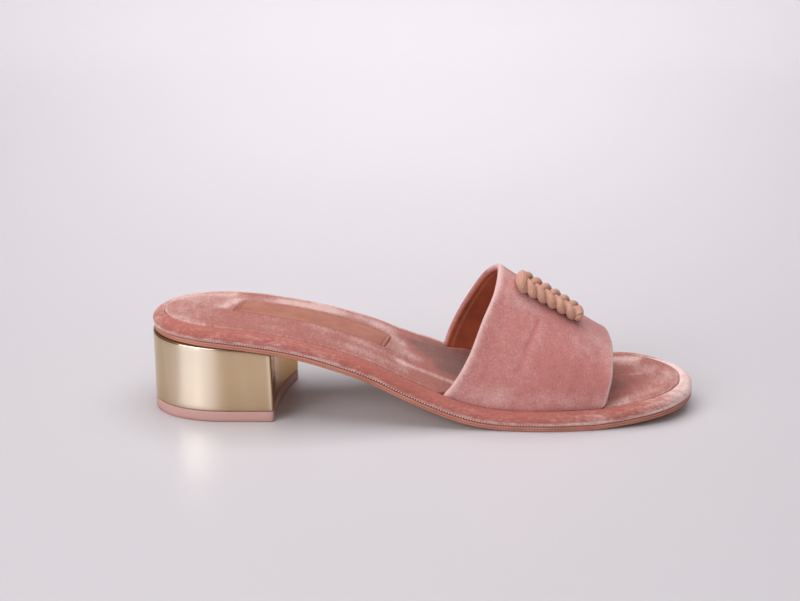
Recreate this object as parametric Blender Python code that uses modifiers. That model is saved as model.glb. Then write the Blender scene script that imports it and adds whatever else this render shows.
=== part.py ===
"""Heeled mule for the right foot: a velvet slide with one broad vamp band on a metal block heel.

Work frame: x runs from the back of the heel to the toe, y to the inner (medial) side of the foot, z up.
All sizes are in millimetres and are turned into metres when a mesh is written. The finished parts hang on
one empty that puts the origin under the middle of the shoe, on the floor.
"""

import math

import bmesh
import bpy
from mathutils import Vector

MM = 0.001

# Driving sizes
SHOE_LENGTH = 254.5
BALL_WIDTH = 87.0
HEEL_HEIGHT = 38.0
TOE_SPRING = 6.0
INSTEP_HEIGHT = 67.0
TOE_OPENING_HEIGHT = 31.7
GAP = 0.3

# Where the toe spring starts, as a share of the length, and how sharply it curls
TOE_SPRING_START = 0.794
TOE_SPRING_CURL = 1.33

# Points around the sole, an even number
SOLE_POINTS = 88

# Outline of the sole: station (share of length), lateral and medial half widths (shares of ball width)
OUTLINE = (
    (0.056, 0.287, 0.299),
    (0.119, 0.362, 0.376),
    (0.179, 0.378, 0.391),
    (0.238, 0.384, 0.386),
    (0.310, 0.394, 0.371),
    (0.397, 0.409, 0.383),
    (0.476, 0.428, 0.424),
    (0.556, 0.446, 0.474),
    (0.643, 0.467, 0.499),
    (0.714, 0.478, 0.517),
    (0.794, 0.459, 0.521),
    (0.865, 0.420, 0.502),
    (0.921, 0.367, 0.430),
    (0.952, 0.312, 0.335),
    (0.976, 0.238, 0.234),
    (0.992, 0.150, 0.132),
)

# Side view of the sole's underside: station (share of length), height (share of heel height)
SHANK = (
    (0.000, 1.000),
    (0.103, 0.976),
    (0.163, 0.945),
    (0.218, 0.895),
    (0.274, 0.824),
    (0.337, 0.703),
    (0.396, 0.563),
    (0.4505, 0.387),
    (0.510, 0.211),
    (0.5455, 0.121),
    (0.572, 0.068),
    (0.600, 0.030),
    (0.632, 0.008),
    (0.663, 0.000),
)

# Arch: station (share of length), how far the medial edge stands above the lateral one
ARCH_LIFT = (
    (0.238, 0.0),
    (0.341, 1.5),
    (0.405, 1.9),
    (0.468, 2.5),
    (0.500, 2.9),
    (0.544, 2.0),
    (0.655, 0.0),
)

# Outsole edge, from the tread up: inset from the outline, height above the tread
OUTSOLE_EDGE = (
    (1.20, 0.00),
    (0.65, 0.30),
    (0.60, 1.05),
    (0.95, 1.25),
    (0.60, 1.45),
    (0.60, 2.20),
    (0.95, 2.50),
)

# Footbed with its padded rand, from the outsole up and in to the seat of the sock: inset, height
FOOTBED_EDGE = (
    (0.75, 2.80),
    (0.10, 3.60),
    (0.00, 4.70),
    (0.45, 6.20),
    (1.60, 7.50),
    (3.10, 8.30),
    (4.40, 8.50),
    (5.10, 8.10),
    (5.30, 7.20),
)

# Sock edge, from its seat up: inset from the sock's own outline, height
SOCK_EDGE = (
    (0.0, 7.50),
    (0.0, 8.15),
    (0.5, 8.80),
    (2.0, 9.20),
)
# Sock top: share of the way from its edge to the spine of the foot, height
SOCK_TOP = (
    (0.40, 9.35),
    (0.85, 9.45),
)
SOCK_INSET = 5.6
SOCK_STEP_MARGIN = 9.0
SPINE_START = 0.135
SPINE_END = 0.850

# Heel: plan of the top piece, then how it grows upwards to the seat
HEEL_BACK = 0.15
HEEL_SHOULDER = 37.5
HEEL_HALF_WIDTH = 28.9
HEEL_ROUNDNESS = 2.2
HEEL_SIDE_SHARE = 0.3
HEEL_BREAST_LATERAL = 58.1
HEEL_BREAST_MEDIAL = 66.1
HEEL_BREAST_HOLLOW = 2.9
HEEL_BREAST_LEAN = 0.6
HEEL_FLARE = 0.09
HEEL_POINTS = 25
HEEL_LEVELS = 4
LIFT_THICKNESS = 5.0
LIFT_CHAMFER = 0.5

# Vamp band: its feet on the lateral and medial groove, its crest line and its wall
VAMP_WALL = 2.2
VAMP_INSET = 5.6
VAMP_FOOT_HEIGHT = 7.6
VAMP_REAR_LATERAL = 132.2
VAMP_REAR_MEDIAL = 133.2
VAMP_FRONT_LATERAL = 208.4
VAMP_FRONT_MEDIAL = 209.5
VAMP_REAR_CREST = 162.2
VAMP_FRONT_CREST = 215.1
VAMP_CREST_BOW = 0.2
VAMP_REAR_ROUNDNESS = 1.95
VAMP_FRONT_ROUNDNESS = 2.4
VAMP_SIDE_BULGE = 1.2
VAMP_LENGTH_CELLS = 12
VAMP_ARCH_CELLS = 28
# Edges of the vamp in side view: height share, then the runs from foot to crest of the lateral rear edge,
# the medial rear edge and the front edge
VAMP_EDGES = (
    (0.00, 0.00, 0.00, 0.00),
    (0.10, 0.16, 0.05, 0.30),
    (0.33, 0.42, 0.23, 0.46),
    (0.65, 0.685, 0.55, 0.72),
    (0.85, 0.89, 0.77, 0.84),
    (1.00, 1.00, 1.00, 1.00),
)

# Plait on the crest of the vamp: three padded cords, bound at both ends
PLAIT_START = 0.16
PLAIT_END = 0.65
PLAIT_OFFSET = -8.0
PLAIT_SWING = 3.9
PLAIT_WEAVE = 1.0
PLAIT_TURNS = 2.0
CORD_RADIUS = 2.1
CORD_POINTS = 32
BINDER_SIZE = (2.6, 6.2, 3.1)

# Label inlay on the sock
LABEL_START = 38.5
LABEL_END = 106.5
LABEL_LATERAL = -6.9
LABEL_MEDIAL = 11.8
# How far the label is laid askew: its ends lean along the foot, and its sides turn across it
LABEL_SKEW = 0.16
LABEL_TURN = 0.045
LABEL_THICKNESS = 0.6
LABEL_HEIGHT = 9.80
LABEL_CELLS = (18, 4)

# Colours, roughness and metallic value of each material
FINISHES = {
    "outsole": ((0.53, 0.24, 0.19), 0.45, 0.0),
    "heel_block": ((0.80, 0.66, 0.42), 0.15, 1.0),
    "top_lift": ((0.60, 0.35, 0.33), 0.50, 0.0),
    "footbed": ((0.50, 0.22, 0.20), 0.90, 0.0),
    "sock": ((0.48, 0.24, 0.23), 0.90, 0.0),
    "label": ((0.50, 0.27, 0.19), 0.70, 0.0),
    "vamp": ((0.52, 0.25, 0.24), 0.90, 0.0),
    "ornament": ((0.54, 0.31, 0.22), 0.85, 0.0),
}


def clear_scene():
    for thing in list(bpy.data.objects):
        bpy.data.objects.remove(thing, do_unlink=True)


def new_collection(name):
    group = bpy.data.collections.new(name)
    bpy.context.scene.collection.children.link(group)
    return group


def mix(start, end, share):
    return start + (end - start) * share


def smooth(rows, x, column=1):
    """Monotone cubic through the rows' first and given column, level beyond both ends."""
    xs = [row[0] for row in rows]
    ys = [row[column] for row in rows]
    if x <= xs[0]:
        return ys[0]
    if x >= xs[-1]:
        return ys[-1]
    steps = [b - a for a, b in zip(xs, xs[1:])]
    rates = [(b - a) / step for a, b, step in zip(ys, ys[1:], steps)]
    slopes = [rates[0]]
    for before, after in zip(rates, rates[1:]):
        level = before * after <= 0.0
        slopes.append(0.0 if level else 2.0 * before * after / (before + after))
    slopes.append(rates[-1])
    k = max(i for i in range(len(steps)) if x >= xs[i])
    step = steps[k]
    t = (x - xs[k]) / step
    start = ys[k] * (1.0 + 2.0 * t) * (1.0 - t) ** 2 + slopes[k] * step * t * (1.0 - t) ** 2
    end = ys[k + 1] * t * t * (3.0 - 2.0 * t) + slopes[k + 1] * step * t * t * (t - 1.0)
    return start + end


def turn_at(x):
    """Angle of a station: 0 at the heel's back, half a turn at the toe."""
    return math.acos(max(-1.0, min(1.0, 1.0 - 2.0 * x / SHOE_LENGTH)))


def outline_rows():
    """The outline as half width against angle, lateral side first, lapped round both ends."""
    lateral = [(turn_at(row[0] * SHOE_LENGTH), -row[1] * BALL_WIDTH) for row in OUTLINE]
    medial = [(-turn_at(row[0] * SHOE_LENGTH), row[2] * BALL_WIDTH) for row in reversed(OUTLINE)]
    half = medial + [(0.0, 0.0)] + lateral + [(math.pi, 0.0)]
    full_turn = 2.0 * math.pi
    return half + [(angle + full_turn, y) for angle, y in half]


OUTLINE_ROWS = outline_rows()


def outline_point(angle):
    x = 0.5 * SHOE_LENGTH * (1.0 - math.cos(angle))
    return x, smooth(OUTLINE_ROWS, angle)


def inset_point(angle, inset):
    """Point on the outline, moved inwards along its normal."""
    step = 0.002
    x0, y0 = outline_point(angle - step)
    x1, y1 = outline_point(angle + step)
    x, y = outline_point(angle)
    run = math.hypot(x1 - x0, y1 - y0)
    return x - (y1 - y0) / run * inset, y + (x1 - x0) / run * inset


def tread_height(x):
    """Height of the sole's underside at its lateral edge."""
    share = x / SHOE_LENGTH
    if share > TOE_SPRING_START:
        reach = min(1.0, (share - TOE_SPRING_START) / (1.0 - TOE_SPRING_START))
        return TOE_SPRING * reach**TOE_SPRING_CURL
    return HEEL_HEIGHT * smooth(SHANK, share)


def sole_point(x, y, height):
    """Point at a height above the tread, measured square to the shank."""
    station = max(0.0, min(SHOE_LENGTH, x))
    step = 0.5
    slope = (tread_height(station + step) - tread_height(station - step)) / (2.0 * step)
    tilt = math.atan(slope)
    angle = turn_at(station)
    lateral = outline_point(angle)[1]
    medial = outline_point(2.0 * math.pi - angle)[1]
    across = (y - lateral) / max(1.0, medial - lateral)
    lift = smooth(ARCH_LIFT, station / SHOE_LENGTH) * max(0.0, min(1.0, across))
    z = tread_height(station) + lift + height * math.cos(tilt)
    return x - height * math.sin(tilt), y, z


def sole_ring(inset, height):
    """Ring round the sole. The inset is a size or a function of the angle."""
    ring = []
    for i in range(SOLE_POINTS):
        angle = 2.0 * math.pi * i / SOLE_POINTS
        depth = inset(angle) if callable(inset) else inset
        ring.append(sole_point(*inset_point(angle, depth), height))
    return ring


def new_material(name):
    colour, roughness, metallic = FINISHES[name]
    material = bpy.data.materials.new(name)
    material.use_nodes = True
    shader = material.node_tree.nodes["Principled BSDF"]
    shader.inputs["Base Color"].default_value = (*colour, 1.0)
    shader.inputs["Roughness"].default_value = roughness
    shader.inputs["Metallic"].default_value = metallic
    return material


def add_part(name, bm):
    """Turns a bmesh in millimetres into a named part on the shoe's empty."""
    bmesh.ops.scale(bm, vec=(MM, MM, MM), verts=bm.verts)
    mesh = bpy.data.meshes.new(name)
    bm.to_mesh(mesh)
    bm.free()
    mesh.materials.append(new_material(name))
    part = bpy.data.objects.new(name, mesh)
    parts.objects.link(part)
    part.parent = stand
    return part


def close_end(bm, loop, tips):
    """Closes a ring with strips across it. A ring with tips has a single point at each end."""
    count = len(loop)
    last = count if tips else count - 1
    for i in range(count // 2 if tips else count // 2 - 1):
        corners = [loop[i], loop[i + 1], loop[(last - i - 1) % count], loop[(last - i) % count]]
        bm.faces.new(list(dict.fromkeys(corners)))


def loft(name, rings, tips):
    """Closed solid through rings that all have the same number of points."""
    bm = bmesh.new()
    loops = [[bm.verts.new(point) for point in ring] for ring in rings]
    count = len(loops[0])
    for lower, upper in zip(loops, loops[1:]):
        for i in range(count):
            after = (i + 1) % count
            bm.faces.new((lower[i], lower[after], upper[after], upper[i]))
    close_end(bm, loops[0], tips)
    close_end(bm, loops[-1], tips)
    bmesh.ops.recalc_face_normals(bm, faces=bm.faces)
    part = add_part(name, bm)
    part.data.shade_smooth()
    part.data.set_sharp_from_angle(angle=math.radians(40.0))
    return part


def make_outsole():
    return loft("outsole", [sole_ring(*row) for row in OUTSOLE_EDGE], tips=True)


def make_footbed():
    return loft("footbed", [sole_ring(*row) for row in FOOTBED_EDGE], tips=True)


def sock_inset(angle):
    """The sock fills the rand, and steps in where the feet of the vamp stand beside it."""
    x, y = outline_point(angle)
    rear = VAMP_REAR_LATERAL if y < 0.0 else VAMP_REAR_MEDIAL
    front = VAMP_FRONT_LATERAL if y < 0.0 else VAMP_FRONT_MEDIAL
    beside_vamp = rear - SOCK_STEP_MARGIN < x < front + SOCK_STEP_MARGIN
    return SOCK_INSET + (VAMP_WALL + 2.0 * GAP if beside_vamp else 0.0)


def sock_crown_ring(share, height):
    """Ring of the sock's top, drawn in towards the spine of the foot."""
    ring = []
    for i in range(SOLE_POINTS):
        angle = 2.0 * math.pi * i / SOLE_POINTS
        x, y = inset_point(angle, sock_inset(angle) + SOCK_EDGE[-1][0])
        spine = max(SPINE_START * SHOE_LENGTH, min(SPINE_END * SHOE_LENGTH, x))
        ring.append(sole_point(mix(x, spine, share), mix(y, 0.0, share), height))
    return ring


def make_sock():
    rings = [sole_ring(lambda angle, row=row: sock_inset(angle) + row[0], row[1]) for row in SOCK_EDGE]
    rings += [sock_crown_ring(*row) for row in SOCK_TOP]
    return loft("sock", rings, tips=True)


def heel_plan():
    """D-shaped plan: round the back from the lateral to the medial corner, then along the hollow breast."""
    around = []
    for i in range(HEEL_POINTS):
        turn = mix(-1.0, 1.0, i / (HEEL_POINTS - 1))
        side = math.copysign(1.0, turn)
        corner = HEEL_BREAST_LATERAL if side < 0.0 else HEEL_BREAST_MEDIAL
        round_share = 1.0 - HEEL_SIDE_SHARE
        if abs(turn) > round_share:
            reach = (abs(turn) - round_share) / HEEL_SIDE_SHARE
            around.append((mix(HEEL_SHOULDER, corner, reach), side * HEEL_HALF_WIDTH))
            continue
        angle = 0.5 * math.pi * abs(turn) / round_share
        depth = math.cos(angle) ** (2.0 / HEEL_ROUNDNESS) * (HEEL_SHOULDER - HEEL_BACK)
        width = math.sin(angle) ** (2.0 / HEEL_ROUNDNESS) * HEEL_HALF_WIDTH
        around.append((HEEL_SHOULDER - depth, side * width))
    breast = []
    for i in range(HEEL_POINTS):
        share = (i + 0.5) / HEEL_POINTS
        chord = mix(HEEL_BREAST_MEDIAL, HEEL_BREAST_LATERAL, share)
        hollow = HEEL_BREAST_HOLLOW * 4.0 * share * (1.0 - share)
        breast.append((chord - hollow, mix(HEEL_HALF_WIDTH, -HEEL_HALF_WIDTH, share)))
    return around + breast


def make_heel_block():
    floor = LIFT_THICKNESS + GAP
    rings = []
    for level in range(HEEL_LEVELS):
        share = level / (HEEL_LEVELS - 1)
        flare = 1.0 + HEEL_FLARE * share**1.5
        ring = []
        for x, y in heel_plan():
            lean = HEEL_BREAST_LEAN * share if x > HEEL_SHOULDER else 0.0
            seat = sole_point(x - lean, y * flare, 0.0)[2] - GAP
            ring.append((x - lean, y * flare, mix(floor, seat, share)))
        rings.append(ring)
    return loft("heel_block", rings, tips=False)


def make_top_lift():
    plan = heel_plan()
    middle = Vector((HEEL_SHOULDER, 0.0))
    worn = [middle + (Vector(point) - middle) * (1.0 - LIFT_CHAMFER / HEEL_HALF_WIDTH) for point in plan]
    rings = [[(*point, 0.0) for point in worn]]
    rings += [[(*point, z) for point in plan] for z in (LIFT_CHAMFER, LIFT_THICKNESS)]
    return loft("top_lift", rings, tips=False)


def vamp_foot(along, medial):
    """Point in the groove of the rand where a foot of the vamp stands."""
    rear = VAMP_REAR_MEDIAL if medial else VAMP_REAR_LATERAL
    front = VAMP_FRONT_MEDIAL if medial else VAMP_FRONT_LATERAL
    angle = turn_at(mix(rear, front, along))
    x, y = inset_point(2.0 * math.pi - angle if medial else angle, VAMP_INSET)
    return Vector(sole_point(x, y, VAMP_FOOT_HEIGHT))


def vamp_section(along, width, height):
    """Point of the vamp from its width share (-1 lateral to 1 medial) and its height share."""
    foot = vamp_foot(along, width > 0.0)
    crest_x = mix(VAMP_REAR_CREST, VAMP_FRONT_CREST, along)
    crest_z = mix(INSTEP_HEIGHT, TOE_OPENING_HEIGHT, along)
    crest_z += VAMP_CREST_BOW * math.sin(math.pi * along)
    rear_run = smooth(VAMP_EDGES, height, 2 if width > 0.0 else 1)
    run = mix(rear_run, smooth(VAMP_EDGES, height, 3), along)
    bulge = VAMP_SIDE_BULGE * along * math.sin(math.pi * height)
    y = foot.y * abs(width) + math.copysign(bulge, width)
    return Vector((mix(foot.x, crest_x, run), y, mix(foot.z, crest_z, height)))


def vamp_roundness(along):
    return mix(VAMP_REAR_ROUNDNESS, VAMP_FRONT_ROUNDNESS, along)


def vamp_arch(along, turn):
    """Point of the vamp at a turn over the foot: 0 at the lateral foot, 1 at the medial one."""
    power = 2.0 / vamp_roundness(along)
    angle = math.pi * turn
    width = math.copysign(abs(math.cos(angle)) ** power, -math.cos(angle))
    return vamp_section(along, width, max(0.0, math.sin(angle)) ** power)


def make_vamp():
    bm = bmesh.new()
    bmesh.ops.create_grid(bm, x_segments=VAMP_LENGTH_CELLS, y_segments=VAMP_ARCH_CELLS, size=0.5)
    for vert in bm.verts:
        vert.co = vamp_arch(vert.co.x + 0.5, vert.co.y + 0.5)
    vamp = add_part("vamp", bm)
    vamp.data.shade_smooth()
    wall = vamp.modifiers.new("wall", "SOLIDIFY")
    wall.thickness = VAMP_WALL * MM
    wall.offset = -1.0
    wall.use_even_offset = True
    return vamp


def vamp_crest(along, across):
    """Point and outward normal of the vamp near its crest, at a sideways distance from it."""

    def at(along_here, across_here):
        width = across_here / abs(vamp_foot(along_here, across_here > 0.0).y)
        power = vamp_roundness(along_here)
        height = (1.0 - abs(width) ** power) ** (1.0 / power)
        return vamp_section(along_here, width, height)

    forward = at(along + 0.01, across) - at(along - 0.01, across)
    sideways = at(along, across + 0.2) - at(along, across - 0.2)
    return at(along, across), forward.cross(sideways).normalized()


def cord_mesh(name, points):
    """Closed mesh of a round cord along the points."""
    curve = bpy.data.curves.new(name, "CURVE")
    curve.dimensions = "3D"
    curve.bevel_depth = CORD_RADIUS * MM
    curve.bevel_resolution = 2
    curve.use_fill_caps = True
    line = curve.splines.new("POLY")
    line.points.add(len(points) - 1)
    for knot, point in zip(line.points, points):
        knot.co = (*(point * MM), 1.0)
    tube = bpy.data.objects.new(name, curve)
    cutters.objects.link(tube)
    bpy.context.view_layer.update()
    graph = bpy.context.evaluated_depsgraph_get()
    mesh = bpy.data.meshes.new_from_object(tube.evaluated_get(graph))
    bpy.data.objects.remove(tube, do_unlink=True)
    bm = bmesh.new()
    bm.from_mesh(mesh)
    bmesh.ops.remove_doubles(bm, verts=bm.verts, dist=0.00001)
    bmesh.ops.recalc_face_normals(bm, faces=bm.faces)
    bm.to_mesh(mesh)
    bm.free()
    return mesh


def add_operand(name, mesh):
    """Piece that a union takes in, kept out of the finished shoe."""
    piece = bpy.data.objects.new(name, mesh)
    piece.hide_render = True
    piece.display_type = "WIRE"
    cutters.objects.link(piece)
    piece.parent = stand
    return piece


def binder_mesh(along):
    """Rounded wrap that binds the cords at one end of the plait."""
    point, normal = vamp_crest(along, PLAIT_OFFSET)
    centre = point + normal * (BINDER_SIZE[2] + GAP)
    turn = Vector((0.0, 0.0, 1.0)).rotation_difference(normal)
    bm = bmesh.new()
    bmesh.ops.create_uvsphere(bm, u_segments=16, v_segments=10, radius=MM)
    bmesh.ops.scale(bm, vec=BINDER_SIZE, verts=bm.verts)
    for vert in bm.verts:
        vert.co = centre * MM + turn @ vert.co
    mesh = bpy.data.meshes.new("binder")
    bm.to_mesh(mesh)
    bm.free()
    return mesh


def plait_strand(index):
    """Centre line of one of the three cords, swinging sideways and over and under its neighbours."""
    points = []
    for i in range(CORD_POINTS):
        share = i / (CORD_POINTS - 1)
        swing = 2.0 * math.pi * (PLAIT_TURNS * share + index / 3.0)
        across = PLAIT_OFFSET + PLAIT_SWING * math.sin(swing)
        point, normal = vamp_crest(mix(PLAIT_START, PLAIT_END, share), across)
        rise = CORD_RADIUS + GAP + PLAIT_WEAVE * (1.0 + math.sin(2.0 * swing))
        points.append(point + normal * rise)
    return points


def make_ornament():
    cords = [cord_mesh(f"cord_{i}", plait_strand(i)) for i in range(3)]
    ornament = bpy.data.objects.new("ornament", cords[0])
    parts.objects.link(ornament)
    ornament.parent = stand
    ornament.data.materials.clear()
    ornament.data.materials.append(new_material("ornament"))
    ornament.data.shade_smooth()
    joined = cords[1:] + [binder_mesh(PLAIT_START), binder_mesh(PLAIT_END)]
    for i, mesh in enumerate(joined):
        union = ornament.modifiers.new(f"join_{i}", "BOOLEAN")
        union.operation = "UNION"
        union.object = add_operand(f"joined_{i}", mesh)
    return ornament


def make_label():
    bm = bmesh.new()
    bmesh.ops.create_grid(bm, x_segments=LABEL_CELLS[0], y_segments=LABEL_CELLS[1], size=0.5)
    for vert in bm.verts:
        along = (LABEL_END - LABEL_START) * vert.co.x
        across = (LABEL_MEDIAL - LABEL_LATERAL) * vert.co.y
        x = 0.5 * (LABEL_START + LABEL_END) + along + LABEL_SKEW * across
        y = 0.5 * (LABEL_LATERAL + LABEL_MEDIAL) + across - LABEL_TURN * along
        vert.co = sole_point(x, y, LABEL_HEIGHT)
    label = add_part("label", bm)
    thickness = label.modifiers.new("thickness", "SOLIDIFY")
    thickness.thickness = LABEL_THICKNESS * MM
    thickness.offset = 1.0
    return label


def centre_on_floor():
    """Moves the empty so that the origin lies under the middle of the shoe's box."""
    corners = [vert.co for part in parts.objects if part.data for vert in part.data.vertices]
    low = [min(corner[axis] for corner in corners) for axis in range(3)]
    high = [max(corner[axis] for corner in corners) for axis in range(3)]
    stand.location = (-0.5 * (low[0] + high[0]), -0.5 * (low[1] + high[1]), -low[2])


clear_scene()
parts = new_collection("heeled_mule")
cutters = new_collection("joined_pieces")
stand = bpy.data.objects.new("stand", None)
parts.objects.link(stand)
make_outsole()
make_footbed()
make_sock()
make_heel_block()
make_top_lift()
make_vamp()
make_ornament()
make_label()
centre_on_floor()
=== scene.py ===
"""Heeled mule for the right foot: a rose velvet slide with one broad vamp band on a gold block heel.

The last's own sizes are in millimetres, with x from the back of the heel to the toe, y to the inner (medial)
side of the foot and z up. to_frame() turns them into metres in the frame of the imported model.
"""

import functools
import math
from bisect import bisect_right

import bpy
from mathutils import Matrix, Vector


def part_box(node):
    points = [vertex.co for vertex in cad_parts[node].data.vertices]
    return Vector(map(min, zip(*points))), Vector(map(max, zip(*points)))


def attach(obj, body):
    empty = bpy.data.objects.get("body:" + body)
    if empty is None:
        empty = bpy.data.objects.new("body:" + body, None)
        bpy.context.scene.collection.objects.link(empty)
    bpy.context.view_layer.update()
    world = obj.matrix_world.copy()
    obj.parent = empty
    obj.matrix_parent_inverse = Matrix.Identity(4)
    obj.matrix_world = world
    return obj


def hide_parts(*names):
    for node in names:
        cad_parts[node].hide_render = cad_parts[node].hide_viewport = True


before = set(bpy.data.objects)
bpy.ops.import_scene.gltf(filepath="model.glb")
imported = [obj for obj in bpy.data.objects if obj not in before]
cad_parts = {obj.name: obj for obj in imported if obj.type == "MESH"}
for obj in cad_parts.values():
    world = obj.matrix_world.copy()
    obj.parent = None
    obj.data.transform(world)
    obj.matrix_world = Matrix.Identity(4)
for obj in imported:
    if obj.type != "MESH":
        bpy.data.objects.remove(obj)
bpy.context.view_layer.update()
BODY = "root"


# Outsole
# A thin leather sole, cut to the outline of the last and bent along its shank, with a waxed edge that carries
# one scored line. It is cemented under the footbed, and its forefoot is the flat that the shoe stands on.

MM = 0.001
SHOE_LENGTH = 254.5
BALL_WIDTH = 87.0
HEEL_HEIGHT = 38.0
TOE_SPRING = 6.0
TOE_SPRING_START = 0.794
TOE_SPRING_CURL = 1.33
SOLE_POINTS = 480
SPINE_START = 0.135
SPINE_END = 0.850
HEEL_BACK = 0.15

# Outline of the sole: station (share of length), lateral and medial half widths (shares of ball width)
OUTLINE = (
    (0.056, 0.287, 0.299),
    (0.119, 0.362, 0.376),
    (0.179, 0.378, 0.391),
    (0.238, 0.384, 0.386),
    (0.310, 0.394, 0.371),
    (0.397, 0.409, 0.383),
    (0.476, 0.428, 0.424),
    (0.556, 0.446, 0.474),
    (0.643, 0.467, 0.499),
    (0.714, 0.478, 0.517),
    (0.794, 0.459, 0.521),
    (0.865, 0.420, 0.502),
    (0.921, 0.367, 0.430),
    (0.952, 0.312, 0.335),
    (0.976, 0.238, 0.234),
    (0.992, 0.150, 0.132),
)

# Side view of the sole's underside: station (share of length), height (share of heel height)
SHANK = (
    (0.000, 1.000),
    (0.103, 0.976),
    (0.163, 0.945),
    (0.218, 0.895),
    (0.274, 0.824),
    (0.337, 0.703),
    (0.396, 0.563),
    (0.4505, 0.387),
    (0.510, 0.211),
    (0.5455, 0.121),
    (0.572, 0.068),
    (0.600, 0.030),
    (0.632, 0.008),
    (0.663, 0.000),
)

# Arch: station (share of length), how far the medial edge stands above the lateral one
ARCH_LIFT = (
    (0.238, 0.0),
    (0.341, 1.5),
    (0.405, 1.9),
    (0.468, 2.5),
    (0.500, 2.9),
    (0.544, 2.0),
    (0.655, 0.0),
)

# Outsole edge, from the tread up: inset from the outline, height above the tread, darkness
# Low down the darkness is painted contact shade along the tread; higher up it is dark wax in the scored line
# and top seam
OUTSOLE_EDGE = (
    (1.90, 0.00, 0.0),
    (1.20, 0.02, 1.0),
    (0.80, 0.14, 1.0),
    (0.63, 0.34, 0.50),
    (0.60, 0.60, 0.30),
    (0.62, 1.05, 0.20),
    (0.74, 1.15, 0.35),
    (0.95, 1.25, 0.55),
    (0.74, 1.35, 0.35),
    (0.62, 1.45, 0.0),
    (0.60, 1.95, 0.0),
    (0.64, 2.25, 0.2),
    (0.76, 2.42, 0.8),
    (1.00, 2.50, 1.0),
)
# How far the rings that close the sole's faces are drawn in towards its spine
SOLE_DRAWS = (0.3, 0.65, 1.0)
SEAM_MERGE = 0.00002

EDGE_WAX = (0.600, 0.245, 0.170, 1.0)
EDGE_WAX_DARK = (0.480, 0.175, 0.118, 1.0)
EDGE_LINE_AND_CONTACT_SHADE = (0.250, 0.072, 0.046, 1.0)
TREAD_TAN = (0.520, 0.270, 0.175, 1.0)
# How far a face of the sole turns down where the tread's tan is full and where it ends
TREAD_FACING = (-0.90, -0.84)

lift_low, lift_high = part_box("top_lift")
last_origin = Vector((lift_low.x - HEEL_BACK * MM, 0.5 * (lift_low.y + lift_high.y), 0.0))


def to_frame(x, y, z):
    return last_origin + Vector((x, y, z)) * MM


def mix(start, end, share):
    return start + (end - start) * share


def clamp(value):
    return max(0.0, min(1.0, value))


def soft_step(start, end, value):
    """0 before the start, 1 after the end, with a smooth rise between."""
    share = clamp((value - start) / (end - start))
    return share * share * (3.0 - 2.0 * share)


def curve_through(rows, column=1):
    """Monotone cubic through a table's first and given column, level beyond both ends."""
    xs = [row[0] for row in rows]
    ys = [row[column] for row in rows]
    steps = [b - a for a, b in zip(xs, xs[1:])]
    rates = [(b - a) / step for a, b, step in zip(ys, ys[1:], steps)]
    slopes = [rates[0]]
    for before, after in zip(rates, rates[1:]):
        level = before * after <= 0.0
        slopes.append(0.0 if level else 2.0 * before * after / (before + after))
    slopes.append(rates[-1])

    def at(x):
        if x <= xs[0]:
            return ys[0]
        if x >= xs[-1]:
            return ys[-1]
        k = bisect_right(xs, x) - 1
        step = steps[k]
        t = (x - xs[k]) / step
        start = ys[k] * (1.0 + 2.0 * t) * (1.0 - t) ** 2 + slopes[k] * step * t * (1.0 - t) ** 2
        end = ys[k + 1] * t * t * (3.0 - 2.0 * t) + slopes[k + 1] * step * t * t * (t - 1.0)
        return start + end

    return at


def turn_at(x):
    """Angle of a station: 0 at the heel's back, half a turn at the toe."""
    return math.acos(max(-1.0, min(1.0, 1.0 - 2.0 * x / SHOE_LENGTH)))


def outline_rows():
    """The outline as half width against angle, lateral side first, lapped round both ends."""
    lateral = [(turn_at(row[0] * SHOE_LENGTH), -row[1] * BALL_WIDTH) for row in OUTLINE]
    medial = [(-turn_at(row[0] * SHOE_LENGTH), row[2] * BALL_WIDTH) for row in reversed(OUTLINE)]
    half = medial + [(0.0, 0.0)] + lateral + [(math.pi, 0.0)]
    return half + [(angle + 2.0 * math.pi, y) for angle, y in half]


half_width = curve_through(outline_rows())
shank_height = curve_through(SHANK)
arch_lift = curve_through(ARCH_LIFT)


@functools.lru_cache(maxsize=None)
def outline_point(angle):
    return 0.5 * SHOE_LENGTH * (1.0 - math.cos(angle)), half_width(angle)


def inset_point(angle, inset):
    """Point on the outline, moved inwards along its normal."""
    step = 0.002
    x0, y0 = outline_point(angle - step)
    x1, y1 = outline_point(angle + step)
    x, y = outline_point(angle)
    run = math.hypot(x1 - x0, y1 - y0)
    return x - (y1 - y0) / run * inset, y + (x1 - x0) / run * inset


def tread_height(x):
    """Height of the sole's underside at its lateral edge."""
    share = x / SHOE_LENGTH
    if share > TOE_SPRING_START:
        reach = min(1.0, (share - TOE_SPRING_START) / (1.0 - TOE_SPRING_START))
        return TOE_SPRING * reach**TOE_SPRING_CURL
    return HEEL_HEIGHT * shank_height(share)


def sole_point(x, y, height):
    """Point at a height above the tread, measured square to the shank."""
    station = max(0.0, min(SHOE_LENGTH, x))
    step = 0.5
    tilt = math.atan((tread_height(station + step) - tread_height(station - step)) / (2.0 * step))
    angle = turn_at(station)
    lateral = half_width(angle)
    medial = half_width(2.0 * math.pi - angle)
    across = clamp((y - lateral) / max(1.0, medial - lateral))
    z = tread_height(station) + arch_lift(station / SHOE_LENGTH) * across + height * math.cos(tilt)
    return to_frame(x - height * math.sin(tilt), y, z)


def ring_angle(index):
    return 2.0 * math.pi * index / SOLE_POINTS


def drawn_point(angle, inset, draw):
    """Point of the outline set in by a size, then drawn a share of the way to the spine of the foot."""
    x, y = inset_point(angle, inset)
    spine = mix(SPINE_START, SPINE_END, 0.5 * (1.0 - math.cos(angle))) * SHOE_LENGTH
    return mix(x, spine, draw), mix(y, 0.0, draw)


def sole_ring(inset, height, draw=0.0):
    points = []
    for i in range(SOLE_POINTS):
        points.append(sole_point(*drawn_point(ring_angle(i), inset, draw), height))
    return points


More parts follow.
